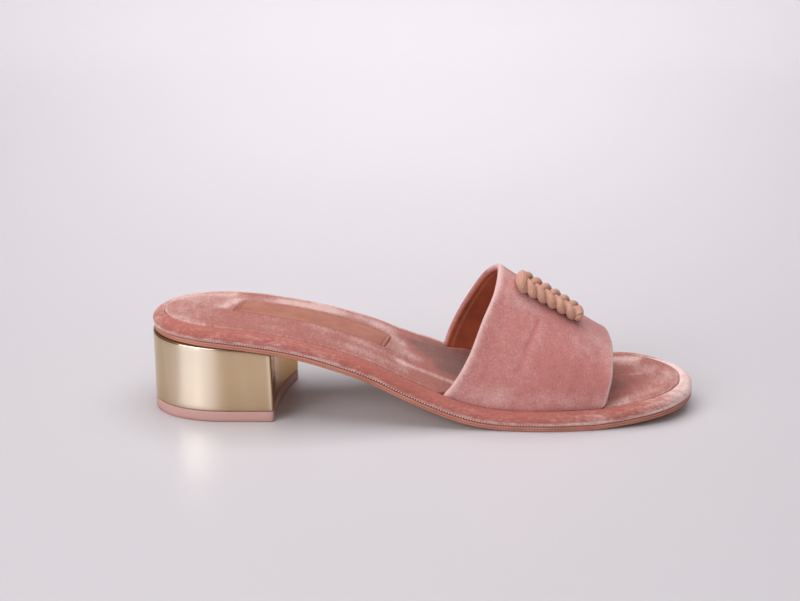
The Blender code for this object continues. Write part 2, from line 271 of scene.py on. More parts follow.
def named(name):
    """The piece that an operator has just added, under its own name."""
    piece = bpy.context.object
    piece.name = name
    piece.data.name = name
    return piece


def close_seams():
    """Merges the doubled points of the active piece, and turns its faces outwards."""
    bpy.ops.object.mode_set(mode="EDIT")
    bpy.ops.mesh.select_all(action="SELECT")
    bpy.ops.mesh.remove_doubles(threshold=SEAM_MERGE)
    bpy.ops.mesh.normals_make_consistent(inside=False)
    bpy.ops.object.mode_set(mode="OBJECT")


def wrap_grid(name, rings, nap=None):
    """Lays a grid primitive through closed rings of points, and merges it where its edges meet."""
    rows = len(rings) - 1
    around = len(rings[0])
    bpy.ops.object.select_all(action="DESELECT")
    bpy.ops.mesh.primitive_grid_add(x_subdivisions=rows, y_subdivisions=around, size=1.0)
    piece = named(name)
    lie = piece.data.attributes.new("nap", "FLOAT", "POINT") if nap else None
    for vert in piece.data.vertices:
        row = round((vert.co.x + 0.5) * rows)
        column = round((vert.co.y + 0.5) * around) % around
        vert.co = rings[row][column]
        if nap:
            lie.data[vert.index].value = nap[row][column]
    close_seams()
    bpy.ops.object.shade_smooth()
    return piece


def fill(tree, made, sockets):
    """Fills a shader node's sockets with values or links."""
    for socket, value in sockets.items():
        if isinstance(value, bpy.types.NodeSocket):
            tree.links.new(value, made.inputs[socket])
        else:
            made.inputs[socket].default_value = value


def node(tree, kind, sockets=None, **options):
    """Adds a shader node, sets its options, and fills its sockets."""
    made = tree.nodes.new(kind)
    for option, value in options.items():
        setattr(made, option, value)
    fill(tree, made, sockets or {})
    return made


def object_place(tree):
    return node(tree, "ShaderNodeTexCoord").outputs["Object"]


def nap_mark(tree):
    """The piece's own attribute: how its pile lies, or where its finish changes."""
    return node(tree, "ShaderNodeAttribute", attribute_name="nap").outputs["Fac"]


def reckon(tree, operation, first, second=0.0, third=0.0):
    return node(tree, "ShaderNodeMath", {0: first, 1: second, 2: third}, operation=operation).outputs[0]


def ramp(tree, value, low, high, to_low=0.0, to_high=1.0):
    """Value spread from one range over another, with soft ends."""
    sockets = {"Value": value, "From Min": low, "From Max": high, "To Min": to_low, "To Max": to_high}
    return node(tree, "ShaderNodeMapRange", sockets, interpolation_type="SMOOTHSTEP").outputs["Result"]


def mix_colours(tree, share, first, second):
    return node(tree, "ShaderNodeMix", {0: share, 6: first, 7: second}, data_type="RGBA").outputs[2]


def speckle(tree, where, scale, detail=2.0):
    sockets = {"Vector": where, "Scale": scale, "Detail": detail}
    return node(tree, "ShaderNodeTexNoise", sockets).outputs["Fac"]


def bumped(tree, height, strength, distance):
    sockets = {"Height": height, "Strength": strength, "Distance": distance}
    return node(tree, "ShaderNodeBump", sockets).outputs["Normal"]


def new_group(name, **inputs):
    """Empty shader group with its named inputs, which puts out a colour, a height and a roughness."""
    group = bpy.data.node_groups.new(name, "ShaderNodeTree")
    outputs = {"Colour": "Color", "Height": "Float", "Roughness": "Float"}
    for side, sockets in (("INPUT", inputs), ("OUTPUT", outputs)):
        for label, kind in sockets.items():
            group.interface.new_socket(label, in_out=side, socket_type=f"NodeSocket{kind}")
    return group, group.nodes.new("NodeGroupInput").outputs, group.nodes.new("NodeGroupOutput")


def use_group(tree, group, **sockets):
    return node(tree, "ShaderNodeGroup", sockets, node_tree=group).outputs


def leather_group():
    """Smooth leather: a cloudy tint, fine pebbled grain and a few rubbed spots."""
    group, given, result = new_group("leather_grain", Tint="Color", Shade="Color", Grain="Float")
    where = object_place(group)
    cloud = speckle(group, where, 90.0, 3.0)
    cells = node(group, "ShaderNodeTexVoronoi", {"Vector": where, "Scale": given["Grain"]}, feature="F1")
    fine = speckle(group, where, 1600.0)
    shade = ramp(group, reckon(group, "ADD", cloud, reckon(group, "MULTIPLY", fine, 0.3)), 0.45, 0.95)
    fill(group, result, {
        "Colour": mix_colours(group, shade, given["Tint"], given["Shade"]),
        "Height": reckon(group, "MULTIPLY_ADD", fine, 0.5, cells.outputs["Distance"]),
        "Roughness": ramp(group, cloud, 0.3, 0.7, 0.38, 0.56),
    })
    return group


def new_finish(name):
    finish = bpy.data.materials.new(name)
    finish.use_nodes = True
    return finish, finish.node_tree, finish.node_tree.nodes["Principled BSDF"]


def finish_piece(piece, finish, slot, *nodes):
    """Gives a piece its finish and its place on the shoe's one body."""
    piece.data.materials.clear()
    piece.data.materials.append(finish)
    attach(piece, BODY)
    if nodes:
        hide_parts(*nodes)


leather_grain = leather_group()


def leather_finish(name, tint, shade, marked, grain, relief, depth):
    """Smooth leather in two tints, and a third colour where the piece's own attribute marks it."""
    finish, tree, shader = new_finish(name)
    leather = use_group(tree, leather_grain, Tint=tint, Shade=shade, Grain=grain)
    colour = mix_colours(tree, nap_mark(tree), leather["Colour"], marked)
    normal = bumped(tree, leather["Height"], relief, depth)
    fill(tree, shader, {"Base Color": colour, "Roughness": leather["Roughness"], "Normal": normal})
    return finish, tree, shader, colour


def outsole_finish():
    """Waxed edge, darker in its scored line and at its top seam, with painted contact shade low down, over a
    plain tan tread.
    """
    finish, tree, shader, edge = leather_finish(
        "waxed_sole_leather", EDGE_WAX, EDGE_WAX_DARK, EDGE_LINE_AND_CONTACT_SHADE, grain=900.0, relief=0.25, depth=0.00008,
    )
    normal = node(tree, "ShaderNodeNewGeometry").outputs["Normal"]
    down = node(tree, "ShaderNodeSeparateXYZ", {0: normal}).outputs["Z"]
    tread = ramp(tree, down, *TREAD_FACING, 1.0, 0.0)
    colour = mix_colours(tree, tread, edge, TREAD_TAN)
    fill(tree, shader, {"Base Color": colour, "Coat Weight": 0.25, "Coat Roughness": 0.3})
    return finish


outsole_rows = [(*OUTSOLE_EDGE[0], draw) for draw in reversed(SOLE_DRAWS)]
outsole_rows += [(*row, 0.0) for row in OUTSOLE_EDGE]
outsole_rows += [(*OUTSOLE_EDGE[-1], draw) for draw in SOLE_DRAWS]
outsole_rings = [sole_ring(inset, height, draw) for inset, height, _, draw in outsole_rows]
outsole = wrap_grid("outsole_leather_sole", outsole_rings, [[row[2]] * SOLE_POINTS for row in outsole_rows])
finish_piece(outsole, outsole_finish(), "outsole_leather", "outsole")


# Heel block
# A moulded block heel with a mirror-plated champagne gold shell, D-shaped in plan with a hollow breast. It
# flares a little towards the seat and is screwed up into the footbed through the outsole.

HEEL_SHOULDER = 37.5
HEEL_HALF_WIDTH = 28.9
HEEL_ROUNDNESS = 2.2
HEEL_BREAST_LATERAL = 58.1
HEEL_BREAST_MEDIAL = 66.1
HEEL_BREAST_HOLLOW = 2.9
HEEL_BREAST_LEAN = 0.6
HEEL_FLARE = 0.09
HEEL_FLARE_CURL = 1.5
HEEL_PLAN_POINTS = 264
HEEL_CORNER_PASSES = 5
HEEL_CENTRE = (33.0, 0.0)
HEEL_LEVELS = 12
HEEL_GAP = 0.3
LIFT_THICKNESS = 5.0
# Rounded rims of the block: inset, distance from its flat end
HEEL_RIM = ((0.9, 0.0), (0.45, 0.06), (0.16, 0.24), (0.03, 0.55))
# How far the rings that close the heel's flat ends are drawn in towards its centre
HEEL_FOOT_DRAWS = (0.5, 1.0)
HEEL_SEAT_DRAWS = (0.25, 0.5, 0.75, 1.0)

GOLD_PAINTED_HIGHLIGHT = (0.850, 0.735, 0.590, 1.0)
GOLD_WARM = (0.585, 0.425, 0.250, 1.0)
GOLD_PAINTED_SHADE = (0.500, 0.310, 0.125, 1.0)
GOLD_PAINTED_SHADE_RIM = (0.850, 0.720, 0.620, 1.0)
WHITE = (1.0, 1.0, 1.0, 1.0)
# Painted light on the plating along the sides of the heel: distance from its back, warmth (0 is the painted
# pale highlight)
GOLD_SIDE_PAINTED_LIGHT = ((0.0, 1.0), (10.0, 0.6), (20.0, 0.0), (26.0, 0.1), (38.0, 0.85), (60.0, 0.95))
# A painted pale glint on the front corners: its strength, how far it faces forward, and its spread
GOLD_PAINTED_GLINT = 0.9
GOLD_PAINTED_GLINT_FACING = 0.20
GOLD_PAINTED_GLINT_SPREAD = 0.12
# Painted shade in the breast: its tone, and how far the shell faces forward where it starts and where it is
# full
BREAST_PAINTED_SHADE = 2.1
BREAST_PAINTED_SHADE_FACING = (0.28, 0.55)
GOLD_CLOUD_STRETCH = (1.0, 1.0, 0.12)


def rough_heel_plan():
    """D-shaped plan: round the back from the lateral to the medial corner, then along the hollow breast."""
    points = []
    count = 160
    for i in range(count + 1):
        turn = mix(-0.5 * math.pi, 0.5 * math.pi, i / count)
        depth = math.cos(turn) ** (2.0 / HEEL_ROUNDNESS) * (HEEL_SHOULDER - HEEL_BACK)
        width = abs(math.sin(turn)) ** (2.0 / HEEL_ROUNDNESS) * HEEL_HALF_WIDTH
        points.append((HEEL_SHOULDER - depth, math.copysign(width, turn)))
    for i in range(count + 1):
        share = i / count
        chord = mix(HEEL_BREAST_MEDIAL, HEEL_BREAST_LATERAL, share)
        hollow = HEEL_BREAST_HOLLOW * 4.0 * share * (1.0 - share)
        points.append((chord - hollow, mix(HEEL_HALF_WIDTH, -HEEL_HALF_WIDTH, share)))
    return [Vector(point) for point in points]


def even_loop(points, count):
    """Closed loop walked again in equal steps."""
    loop = points + points[:1]
    lengths = [0.0]
    for a, b in zip(loop, loop[1:]):
        lengths.append(lengths[-1] + (b - a).length)
    walked = []
    for i in range(count):
        goal = lengths[-1] * i / count
        k = bisect_right(lengths, goal) - 1
        walked.append(loop[k].lerp(loop[k + 1], (goal - lengths[k]) / (lengths[k + 1] - lengths[k])))
    return walked


def softened(loop, passes):
    """Loop with its corners rounded by averaging each point with its neighbours."""
    for _ in range(passes):
        loop = [(loop[i - 1] + loop[i] * 2.0 + loop[(i + 1) % len(loop)]) * 0.25 for i in range(len(loop))]
    return loop


def set_in(loop, inset):
    """Loop moved inwards along its own normals."""
    moved = []
    for i, point in enumerate(loop):
        run = (loop[(i + 1) % len(loop)] - loop[i - 1]).normalized()
        moved.append(point + Vector((run.y, -run.x)) * inset)
    return moved


heel_plan = softened(even_loop(rough_heel_plan(), HEEL_PLAN_POINTS), HEEL_CORNER_PASSES)


def heel_ring(share, inset=0.0, drop=0.0, draw=0.0):
    """Ring of the block at a share of its height: set in, moved off that level by its drop, and drawn in."""
    flare = 1.0 + HEEL_FLARE * share**HEEL_FLARE_CURL
    ring = []
    for x, y in set_in(heel_plan, inset):
        corner = HEEL_BREAST_MEDIAL if y > 0.0 else HEEL_BREAST_LATERAL
        lean = HEEL_BREAST_LEAN * share * soft_step(HEEL_SHOULDER, corner, x)
        x = mix(x - lean, HEEL_CENTRE[0], draw)
        y = mix(y * flare, HEEL_CENTRE[1], draw)
        seat = sole_point(x, y, 0.0).z / MM - HEEL_GAP
        ring.append(to_frame(x, y, mix(LIFT_THICKNESS + HEEL_GAP, seat, share) + drop))
    return ring


def bell(distance, width):
    """1 at no distance, falling softly to 0 beyond the width."""
    return math.exp(-((distance / width) ** 2))


def gold_painted_light():
    """Painted light round the plan: varied along the sides, a painted pale glint on the corners, painted
    shade in the breast.
    """
    along = curve_through(GOLD_SIDE_PAINTED_LIGHT)
    tones = []
    for i, point in enumerate(heel_plan):
        run = (heel_plan[(i + 1) % len(heel_plan)] - heel_plan[i - 1]).normalized()
        forward = -run.y if point.x > HEEL_SHOULDER else 0.0
        glint = GOLD_PAINTED_GLINT * bell(forward - GOLD_PAINTED_GLINT_FACING, GOLD_PAINTED_GLINT_SPREAD)
        side = mix(along(point.x), 0.0, glint)
        tones.append(mix(side, BREAST_PAINTED_SHADE, soft_step(*BREAST_PAINTED_SHADE_FACING, forward)))
    return tones


def gold_finish():
    """Mirror plating: warm gold with a faint cloud, painted pale highlights, painted dark shade in the
    breast, and wiped smears in its gloss.
    """
    finish, tree, shader = new_finish("champagne_gold_plating")
    where = object_place(tree)
    stretched = node(tree, "ShaderNodeMapping", {"Vector": where, "Scale": GOLD_CLOUD_STRETCH})
    cloud = speckle(tree, stretched.outputs["Vector"], 70.0)
    smear = speckle(tree, where, 240.0, 3.0)
    tone = reckon(tree, "MULTIPLY_ADD", ramp(tree, cloud, 0.35, 0.7), 0.2, nap_mark(tree))
    side = mix_colours(tree, ramp(tree, tone, 0.0, 1.1), GOLD_PAINTED_HIGHLIGHT, GOLD_WARM)
    # Painted shade: the breast is painted dark gold, with a darker tint on its grazing rims
    painted_shade = ramp(tree, tone, 1.2, BREAST_PAINTED_SHADE)
    fill(tree, shader, {
        "Base Color": mix_colours(tree, painted_shade, side, GOLD_PAINTED_SHADE),
        "Specular Tint": mix_colours(tree, painted_shade, WHITE, GOLD_PAINTED_SHADE_RIM),
        "Metallic": 1.0,
        "Roughness": ramp(tree, smear, 0.35, 0.75, 0.06, 0.11),
        "Normal": bumped(tree, cloud, 0.05, 0.0004),
    })
    return finish


heel_rings = [heel_ring(0.0, HEEL_RIM[0][0], 0.0, draw) for draw in reversed(HEEL_FOOT_DRAWS)]
heel_rings += [heel_ring(0.0, inset, rise) for inset, rise in HEEL_RIM]
heel_rings += [heel_ring(level / HEEL_LEVELS) for level in range(1, HEEL_LEVELS)]
heel_rings += [heel_ring(1.0, inset, -rise) for inset, rise in reversed(HEEL_RIM)]
heel_rings += [heel_ring(1.0, HEEL_RIM[0][0], 0.0, draw) for draw in HEEL_SEAT_DRAWS]
# The plating's painted light and shade round its plan ride on the piece's own attribute
heel_block = wrap_grid("heel_block_shell", heel_rings, [gold_painted_light()] * len(heel_rings))
finish_piece(heel_block, gold_finish(), "heel_plating", "heel_block")


# Top lift
# A pink rubber tread, moulded to the plan of the heel and cemented under it. Its lower rim is worn round, and
# it is the rear flat that the shoe stands on.

# Rims of the lift: inset, height
LIFT_PROFILE = (
    (0.90, 0.00),
    (0.45, 0.05),
    (0.12, 0.22),
    (0.00, 0.55),
    (0.00, 2.50),
    (0.00, 4.60),
    (0.10, 4.88),
    (0.40, 5.00),
)
LIFT_PINK = (0.600, 0.358, 0.322, 1.0)
LIFT_SCUFF = (0.420, 0.190, 0.160, 1.0)
LIFT_SCUFF_HEIGHTS = (0.2 * MM, 1.6 * MM)


def lift_ring(inset, height, draw=0.0):
    ring = []
    for x, y in set_in(heel_plan, inset):
        ring.append(to_frame(mix(x, HEEL_CENTRE[0], draw), mix(y, HEEL_CENTRE[1], draw), height))
    return ring


def lift_finish():
    """Matt rubber with a fine speckle and a dull scuff along the floor."""
    finish, tree, shader = new_finish("pink_lift_rubber")
    where = object_place(tree)
    height = node(tree, "ShaderNodeSeparateXYZ", {0: where}).outputs["Z"]
    fine = speckle(tree, where, 1800.0)
    patch = speckle(tree, where, 160.0, 3.0)
    worn = reckon(tree, "MULTIPLY", ramp(tree, height, *LIFT_SCUFF_HEIGHTS, 1.0, 0.0), patch)
    shade = reckon(tree, "MULTIPLY_ADD", fine, 0.22, worn)
    fill(tree, shader, {
        "Base Color": mix_colours(tree, shade, LIFT_PINK, LIFT_SCUFF),
        "Roughness": ramp(tree, patch, 0.3, 0.7, 0.45, 0.62),
        "Specular IOR Level": 0.25,
        "Normal": bumped(tree, fine, 0.2, 0.0001),
    })
    return finish


lift_rings = [lift_ring(*LIFT_PROFILE[0], draw) for draw in reversed(HEEL_FOOT_DRAWS)]
lift_rings += [lift_ring(*row) for row in LIFT_PROFILE]
lift_rings += [lift_ring(*LIFT_PROFILE[-1], draw) for draw in HEEL_FOOT_DRAWS]
top_lift = wrap_grid("top_lift_tread", lift_rings)
finish_piece(top_lift, lift_finish(), "lift_rubber", "top_lift")


# Footbed and rand
# The moulded footbed, wrapped in velvet over a soft filler so that a padded rand stands round its edge. The
# velvet is drawn down over the rim and caught in the seam above the outsole.

# Section of the rand, from the outsole up and in to the seat of the sock: inset, height
RAND_EDGE = (
    (0.75, 2.80),
    (0.10, 3.60),
    (0.00, 4.70),
    (0.45, 6.20),
    (1.60, 7.50),
    (3.10, 8.30),
    (4.40, 8.50),
    (5.10, 8.10),
    (5.30, 7.20),
)
RAND_ROWS = 30
# Soft dents where the velvet gathers on the rand: angle round the sole and half width in degrees, depth
RAND_DENTS = (
    (14.0, 2.5, 0.22),
    (31.0, 3.5, 0.15),
    (148.0, 1.6, 0.12),
    (158.0, 1.8, 0.20),
    (165.0, 1.4, 0.16),
    (172.0, 2.0, 0.24),
    (181.0, 1.8, 0.18),
    (190.0, 2.2, 0.22),
    (199.0, 2.0, 0.16),
    (340.0, 3.0, 0.20),
)
# How the pile lies round the rand: angle in degrees, paleness
RAND_NAP = (
    (0.0, 0.30),
    (8.0, 0.28),
    (14.0, 0.24),
    (26.0, 0.10),
    (40.0, 0.04),
    (55.0, 0.16),
    (64.0, 0.16),
    (74.0, 0.05),
    (98.0, -0.02),
    (108.0, 0.00),
    (117.0, 0.12),
    (125.0, 0.30),
    (134.0, 0.12),
    (146.0, 0.32),
    (158.0, 0.62),
    (172.0, 0.88),
    (195.0, 0.84),
    (215.0, 0.40),
    (250.0, 0.42),
    (300.0, 0.55),
    (335.0, 0.60),
    (360.0, 0.30),
)
ROSE = (0.415, 0.134, 0.108, 1.0)
ROSE_DULL_AND_SHADE = (0.290, 0.088, 0.070, 1.0)
PILE_PALE = (0.880, 0.660, 0.620, 1.0)
PILE_SHEEN = (1.0, 0.85, 0.83, 1.0)
RAND_STREAK = (0.4, 1.0, 1.0)
EVEN_STREAK = (1.0, 1.0, 1.0)
# Where the dents start and where they are full, on the outer face and on the crown, and how far they slant
RAND_DENT_HEIGHTS = (3.0, 6.0)
RAND_DENT_INSETS = (5.2, 3.8)
RAND_DENT_SLANT = 0.7
# Pale fuzz beside the sock, and painted shade on the crown that faces the lamps: strength, and the insets
# where each starts and is full
RAND_FUZZ = 0.30
RAND_FUZZ_INSETS = (4.4, 5.1)
RAND_CROWN_PAINTED_SHADE = 0.12
RAND_CROWN_SHADE_INSETS = (1.0, 3.0)
# Pale ruffle above the lower seam: strength, its waver, the heights where it comes and goes, its ragged reach
RAND_RUFFLE = 0.32
RAND_RUFFLE_WAVER = 0.10
RAND_RUFFLE_FOOT = (3.1, 3.6)
RAND_RUFFLE_HEAD = (3.8, 4.3)
RAND_RUFFLE_REACH = 0.7
RAND_RUFFLE_RAGGED = 0.4
# Shade in the seam itself
RAND_SEAM_SHADE = 0.70
RAND_SEAM_HEIGHTS = (3.0, 3.3)


def velvet_group():
    """Short pile: rose as it lies, pale where it is brushed up, dull where it is brushed away from view and
    where a piece paints shade, with painted glints.
    """
    group, given, result = new_group(
        "velvet_pile", Dull="Color", Rose="Color", Pale="Color",
        Nap="Float", Mottle="Float", Stretch="Vector",
    )
    where = object_place(group)
    streaked = node(group, "ShaderNodeVectorMath", {0: where, 1: given["Stretch"]}, operation="MULTIPLY")

    def uneven(scale, detail):
        return reckon(group, "SUBTRACT", speckle(group, streaked.outputs[0], scale, detail), 0.5)

    drift = uneven(70.0, 3.0)
    patch = uneven(300.0, 4.0)
    tuft = uneven(1100.0, 3.0)
    fibre = speckle(group, where, 3600.0)
    broken = reckon(group, "MULTIPLY_ADD", patch, 0.9, reckon(group, "MULTIPLY", drift, 1.2))
    broken = reckon(group, "MULTIPLY_ADD", tuft, 0.9, broken)
    lie = reckon(group, "MULTIPLY_ADD", broken, given["Mottle"], given["Nap"])
    brushed = mix_colours(group, ramp(group, lie, 0.0, 1.0), given["Rose"], given["Pale"])
    brushed = mix_colours(group, ramp(group, lie, 0.0, -0.8), brushed, given["Dull"])
    # Painted highlights: sparse pale specks stand for the glints of single fibres
    glint = ramp(group, speckle(group, where, 1300.0, 1.0), 0.66, 0.82, 0.0, 0.30)
    brushed = mix_colours(group, glint, brushed, given["Pale"])
    tone = reckon(group, "MULTIPLY_ADD", tuft, 0.42, reckon(group, "MULTIPLY_ADD", patch, 0.16, 1.0))
    fill(group, result, {
        "Colour": node(group, "ShaderNodeHueSaturation", {"Color": brushed, "Value": tone}).outputs["Color"],
        "Height": reckon(group, "MULTIPLY_ADD", tuft, 0.7, fibre),
        "Roughness": ramp(group, fibre, 0.3, 0.7, 0.78, 0.96),
    })
    return group


velvet_pile = velvet_group()


def velvet_finish(name, rose, dull, pale, mottle, sheen, streak=EVEN_STREAK):
    """Velvet whose pile lies as the piece's own attribute says, with the sheen of its hairs."""
    finish, tree, shader = new_finish(name)
    pile = use_group(
        tree, velvet_pile, Dull=dull, Rose=rose, Pale=pale, Nap=nap_mark(tree), Mottle=mottle, Stretch=streak,
    )
    fill(tree, shader, {
        "Base Color": pile["Colour"],
        "Roughness": pile["Roughness"],
        "Specular IOR Level": 0.15,
        "Sheen Weight": sheen,
        "Sheen Roughness": 0.38,
        "Sheen Tint": PILE_SHEEN,
        "Normal": bumped(tree, pile["Height"], 0.45, 0.00025),
    })
    return finish


def rand_section():
    """Insets and heights of the rand in even steps along its section."""
    lengths = [0.0]
    for a, b in zip(RAND_EDGE, RAND_EDGE[1:]):
        lengths.append(lengths[-1] + math.dist(a, b))
    inset_at = curve_through([(length, row[0]) for length, row in zip(lengths, RAND_EDGE)])
    height_at = curve_through([(length, row[1]) for length, row in zip(lengths, RAND_EDGE)])
    steps = [lengths[-1] * i / RAND_ROWS for i in range(RAND_ROWS + 1)]
    return [(inset_at(step), height_at(step)) for step in steps]


rand_nap = curve_through(RAND_NAP)


def rand_dent(angle):
    degrees = math.degrees(angle)
    return sum(depth * bell(degrees - place, spread) for place, spread, depth in RAND_DENTS)


def rand_ring(inset, height):
    """Ring of the rand, dented most where its section faces outwards and up."""
    points = []
    share = soft_step(*RAND_DENT_HEIGHTS, height) * soft_step(*RAND_DENT_INSETS, inset)
    for i in range(SOLE_POINTS):
        angle = ring_angle(i)
        dent = RAND_DENT_SLANT * rand_dent(angle) * share
        points.append(sole_point(*inset_point(angle, inset + dent), height - dent))
    return points


def uneven_wave(angle, first, second, shift):
    return math.sin(first * angle) * math.sin(second * angle + shift)


def rand_lie(inset, height):
    """Paleness of a ring: ruffled above its lower seam, painted shade in the seam and over its crown, and
    fuzzy beside the sock.
    """
    row = []
    crown = RAND_FUZZ * soft_step(*RAND_FUZZ_INSETS, inset)
    # Painted shade: the crown, which faces the light from above, is painted darker
    crown -= RAND_CROWN_PAINTED_SHADE * soft_step(*RAND_CROWN_SHADE_INSETS, inset)
    seam = RAND_SEAM_SHADE * (1.0 - soft_step(*RAND_SEAM_HEIGHTS, height))
    foot = soft_step(*RAND_RUFFLE_FOOT, height)
    for i in range(SOLE_POINTS):
        angle = ring_angle(i)
        reach = RAND_RUFFLE_REACH * (1.0 + RAND_RUFFLE_RAGGED * uneven_wave(angle, 37.0, 11.0, 1.0))
        head = 1.0 - soft_step(RAND_RUFFLE_HEAD[0], RAND_RUFFLE_HEAD[1] + reach, height)
        ruffle = RAND_RUFFLE + RAND_RUFFLE_WAVER * uneven_wave(angle, 17.0, 61.0, 0.7)
        row.append(rand_nap(math.degrees(angle)) + ruffle * foot * head - seam + crown)
    return row


section = rand_section()
rand_rings = [sole_ring(*section[0], draw) for draw in reversed(SOLE_DRAWS)]
rand_rings += [rand_ring(*row) for row in section]
rand_rings += [sole_ring(*section[-1], draw) for draw in SOLE_DRAWS]
rand_rows = [section[0]] * len(SOLE_DRAWS) + section + [section[-1]] * len(SOLE_DRAWS)
footbed = wrap_grid("footbed_velvet_rand", rand_rings, [rand_lie(*row) for row in rand_rows])
rand_velvet = velvet_finish("rand_velvet", ROSE, ROSE_DULL_AND_SHADE, PILE_PALE, 0.52, 0.30, RAND_STREAK)
finish_piece(footbed, rand_velvet, "rand_velvet", "footbed")


# Welt stitches
# A row of short pale thread stitches in the seam between the rand and the outsole, all the way round. They
# hold the wrapped velvet down to the sole.

STITCH_PITCH = 1.30
STITCH_LENGTH = 0.80
STITCH_WIDTH = 0.60
STITCH_INSET = 0.30
STITCH_HEIGHT = 3.10
THREAD = (0.880, 0.660, 0.600, 1.0)


def thread_finish():
    """Matt twisted thread in two pale tones."""
    finish, tree, shader = new_finish("welt_thread")
    where = object_place(tree)
    tone = ramp(tree, speckle(tree, where, 320.0), 0.35, 0.7)
    fill(tree, shader, {
        "Base Color": mix_colours(tree, tone, THREAD, PILE_PALE),
        "Roughness": 0.7,
        "Sheen Weight": 0.3,
        "Normal": bumped(tree, speckle(tree, where, 2600.0), 0.4, 0.0001),
    })
    return finish


def add_line(name, points, closed=False):
    """Curve through a row of points."""
    curve = bpy.data.curves.new(name, "CURVE")
    curve.dimensions = "3D"
    line = curve.splines.new("POLY")
    line.points.add(len(points) - 1)
    for knot, point in zip(line.points, points):
        knot.co = (*point, 1.0)
    line.use_cyclic_u = closed
    made = bpy.data.objects.new(name, curve)
    bpy.context.scene.collection.objects.link(made)
    return made


bpy.ops.object.select_all(action="DESELECT")
bpy.ops.mesh.primitive_uv_sphere_add(segments=6, ring_count=5, radius=0.5 * MM)
stitches = named("welt_stitches")
bpy.ops.object.mode_set(mode="EDIT")
bpy.ops.mesh.select_all(action="SELECT")
bpy.ops.transform.resize(value=(STITCH_LENGTH, STITCH_WIDTH, STITCH_WIDTH))
bpy.ops.object.mode_set(mode="OBJECT")
bpy.ops.object.shade_smooth()
seam = sole_ring(STITCH_INSET, STITCH_HEIGHT)
seam_length = sum((a - b).length for a, b in zip(seam, seam[1:] + seam[:1]))
seam_path = add_line("seam_path", seam, closed=True)
row = stitches.modifiers.new("row", "ARRAY")
row.count = int(seam_length / (STITCH_PITCH * MM))
row.use_relative_offset = False
row.use_constant_offset = True
row.constant_offset_displace = (seam_length / row.count, 0.0, 0.0)
follow = stitches.modifiers.new("follow", "CURVE")
follow.object = seam_path
follow.deform_axis = "POS_X"
bpy.ops.object.modifier_apply(modifier="row")
bpy.ops.object.modifier_apply(modifier="follow")
bpy.data.objects.remove(seam_path, do_unlink=True)
finish_piece(stitches, thread_finish(), "rand_velvet")


# Sock
# The velvet insole: a thin padded pad, laid into the rand and glued to the footbed. Its edge rolls down into
# the groove, and it stands up a little round the label that is let into it.

VAMP_WALL = 2.2
VAMP_REAR_LATERAL = 132.2
VAMP_REAR_MEDIAL = 133.2
VAMP_FRONT_LATERAL = 208.4
VAMP_FRONT_MEDIAL = 209.5
# Section of the sock's edge, from its seat up: inset from its own outline, height
SOCK_EDGE = (
    (0.0, 7.50),
    (0.0, 7.95),
    (0.06, 8.30),
    (0.24, 8.60),
    (0.6, 8.84),
    (1.2, 9.04),
    (2.0, 9.20),
)
SOCK_TOP_HEIGHT = 9.45
SOCK_TOP_ROWS = 54
SOCK_INSET = 5.6
SOCK_STEP = 3.4
SOCK_STEP_MARGIN = 2.2
SOCK_STEP_RUN = 2.6
LABEL_START = 38.5
LABEL_END = 106.5
LABEL_LATERAL = -6.9
LABEL_MEDIAL = 11.8
LABEL_SKEW = 0.16
LABEL_TURN = 0.045
LABEL_LIP = 0.55
LABEL_LIP_REACH = 2.4
LABEL_BED = 0.9
LABEL_BED_RUN = 0.8
# Padding raised against the inner side of the vamp: height, reach across, run at its start, where it ends
SOCK_CUP = 2.0
SOCK_CUP_REACH = 7.0
SOCK_CUP_RUN = 13.0
SOCK_CUP_END = (222.0, 205.0)

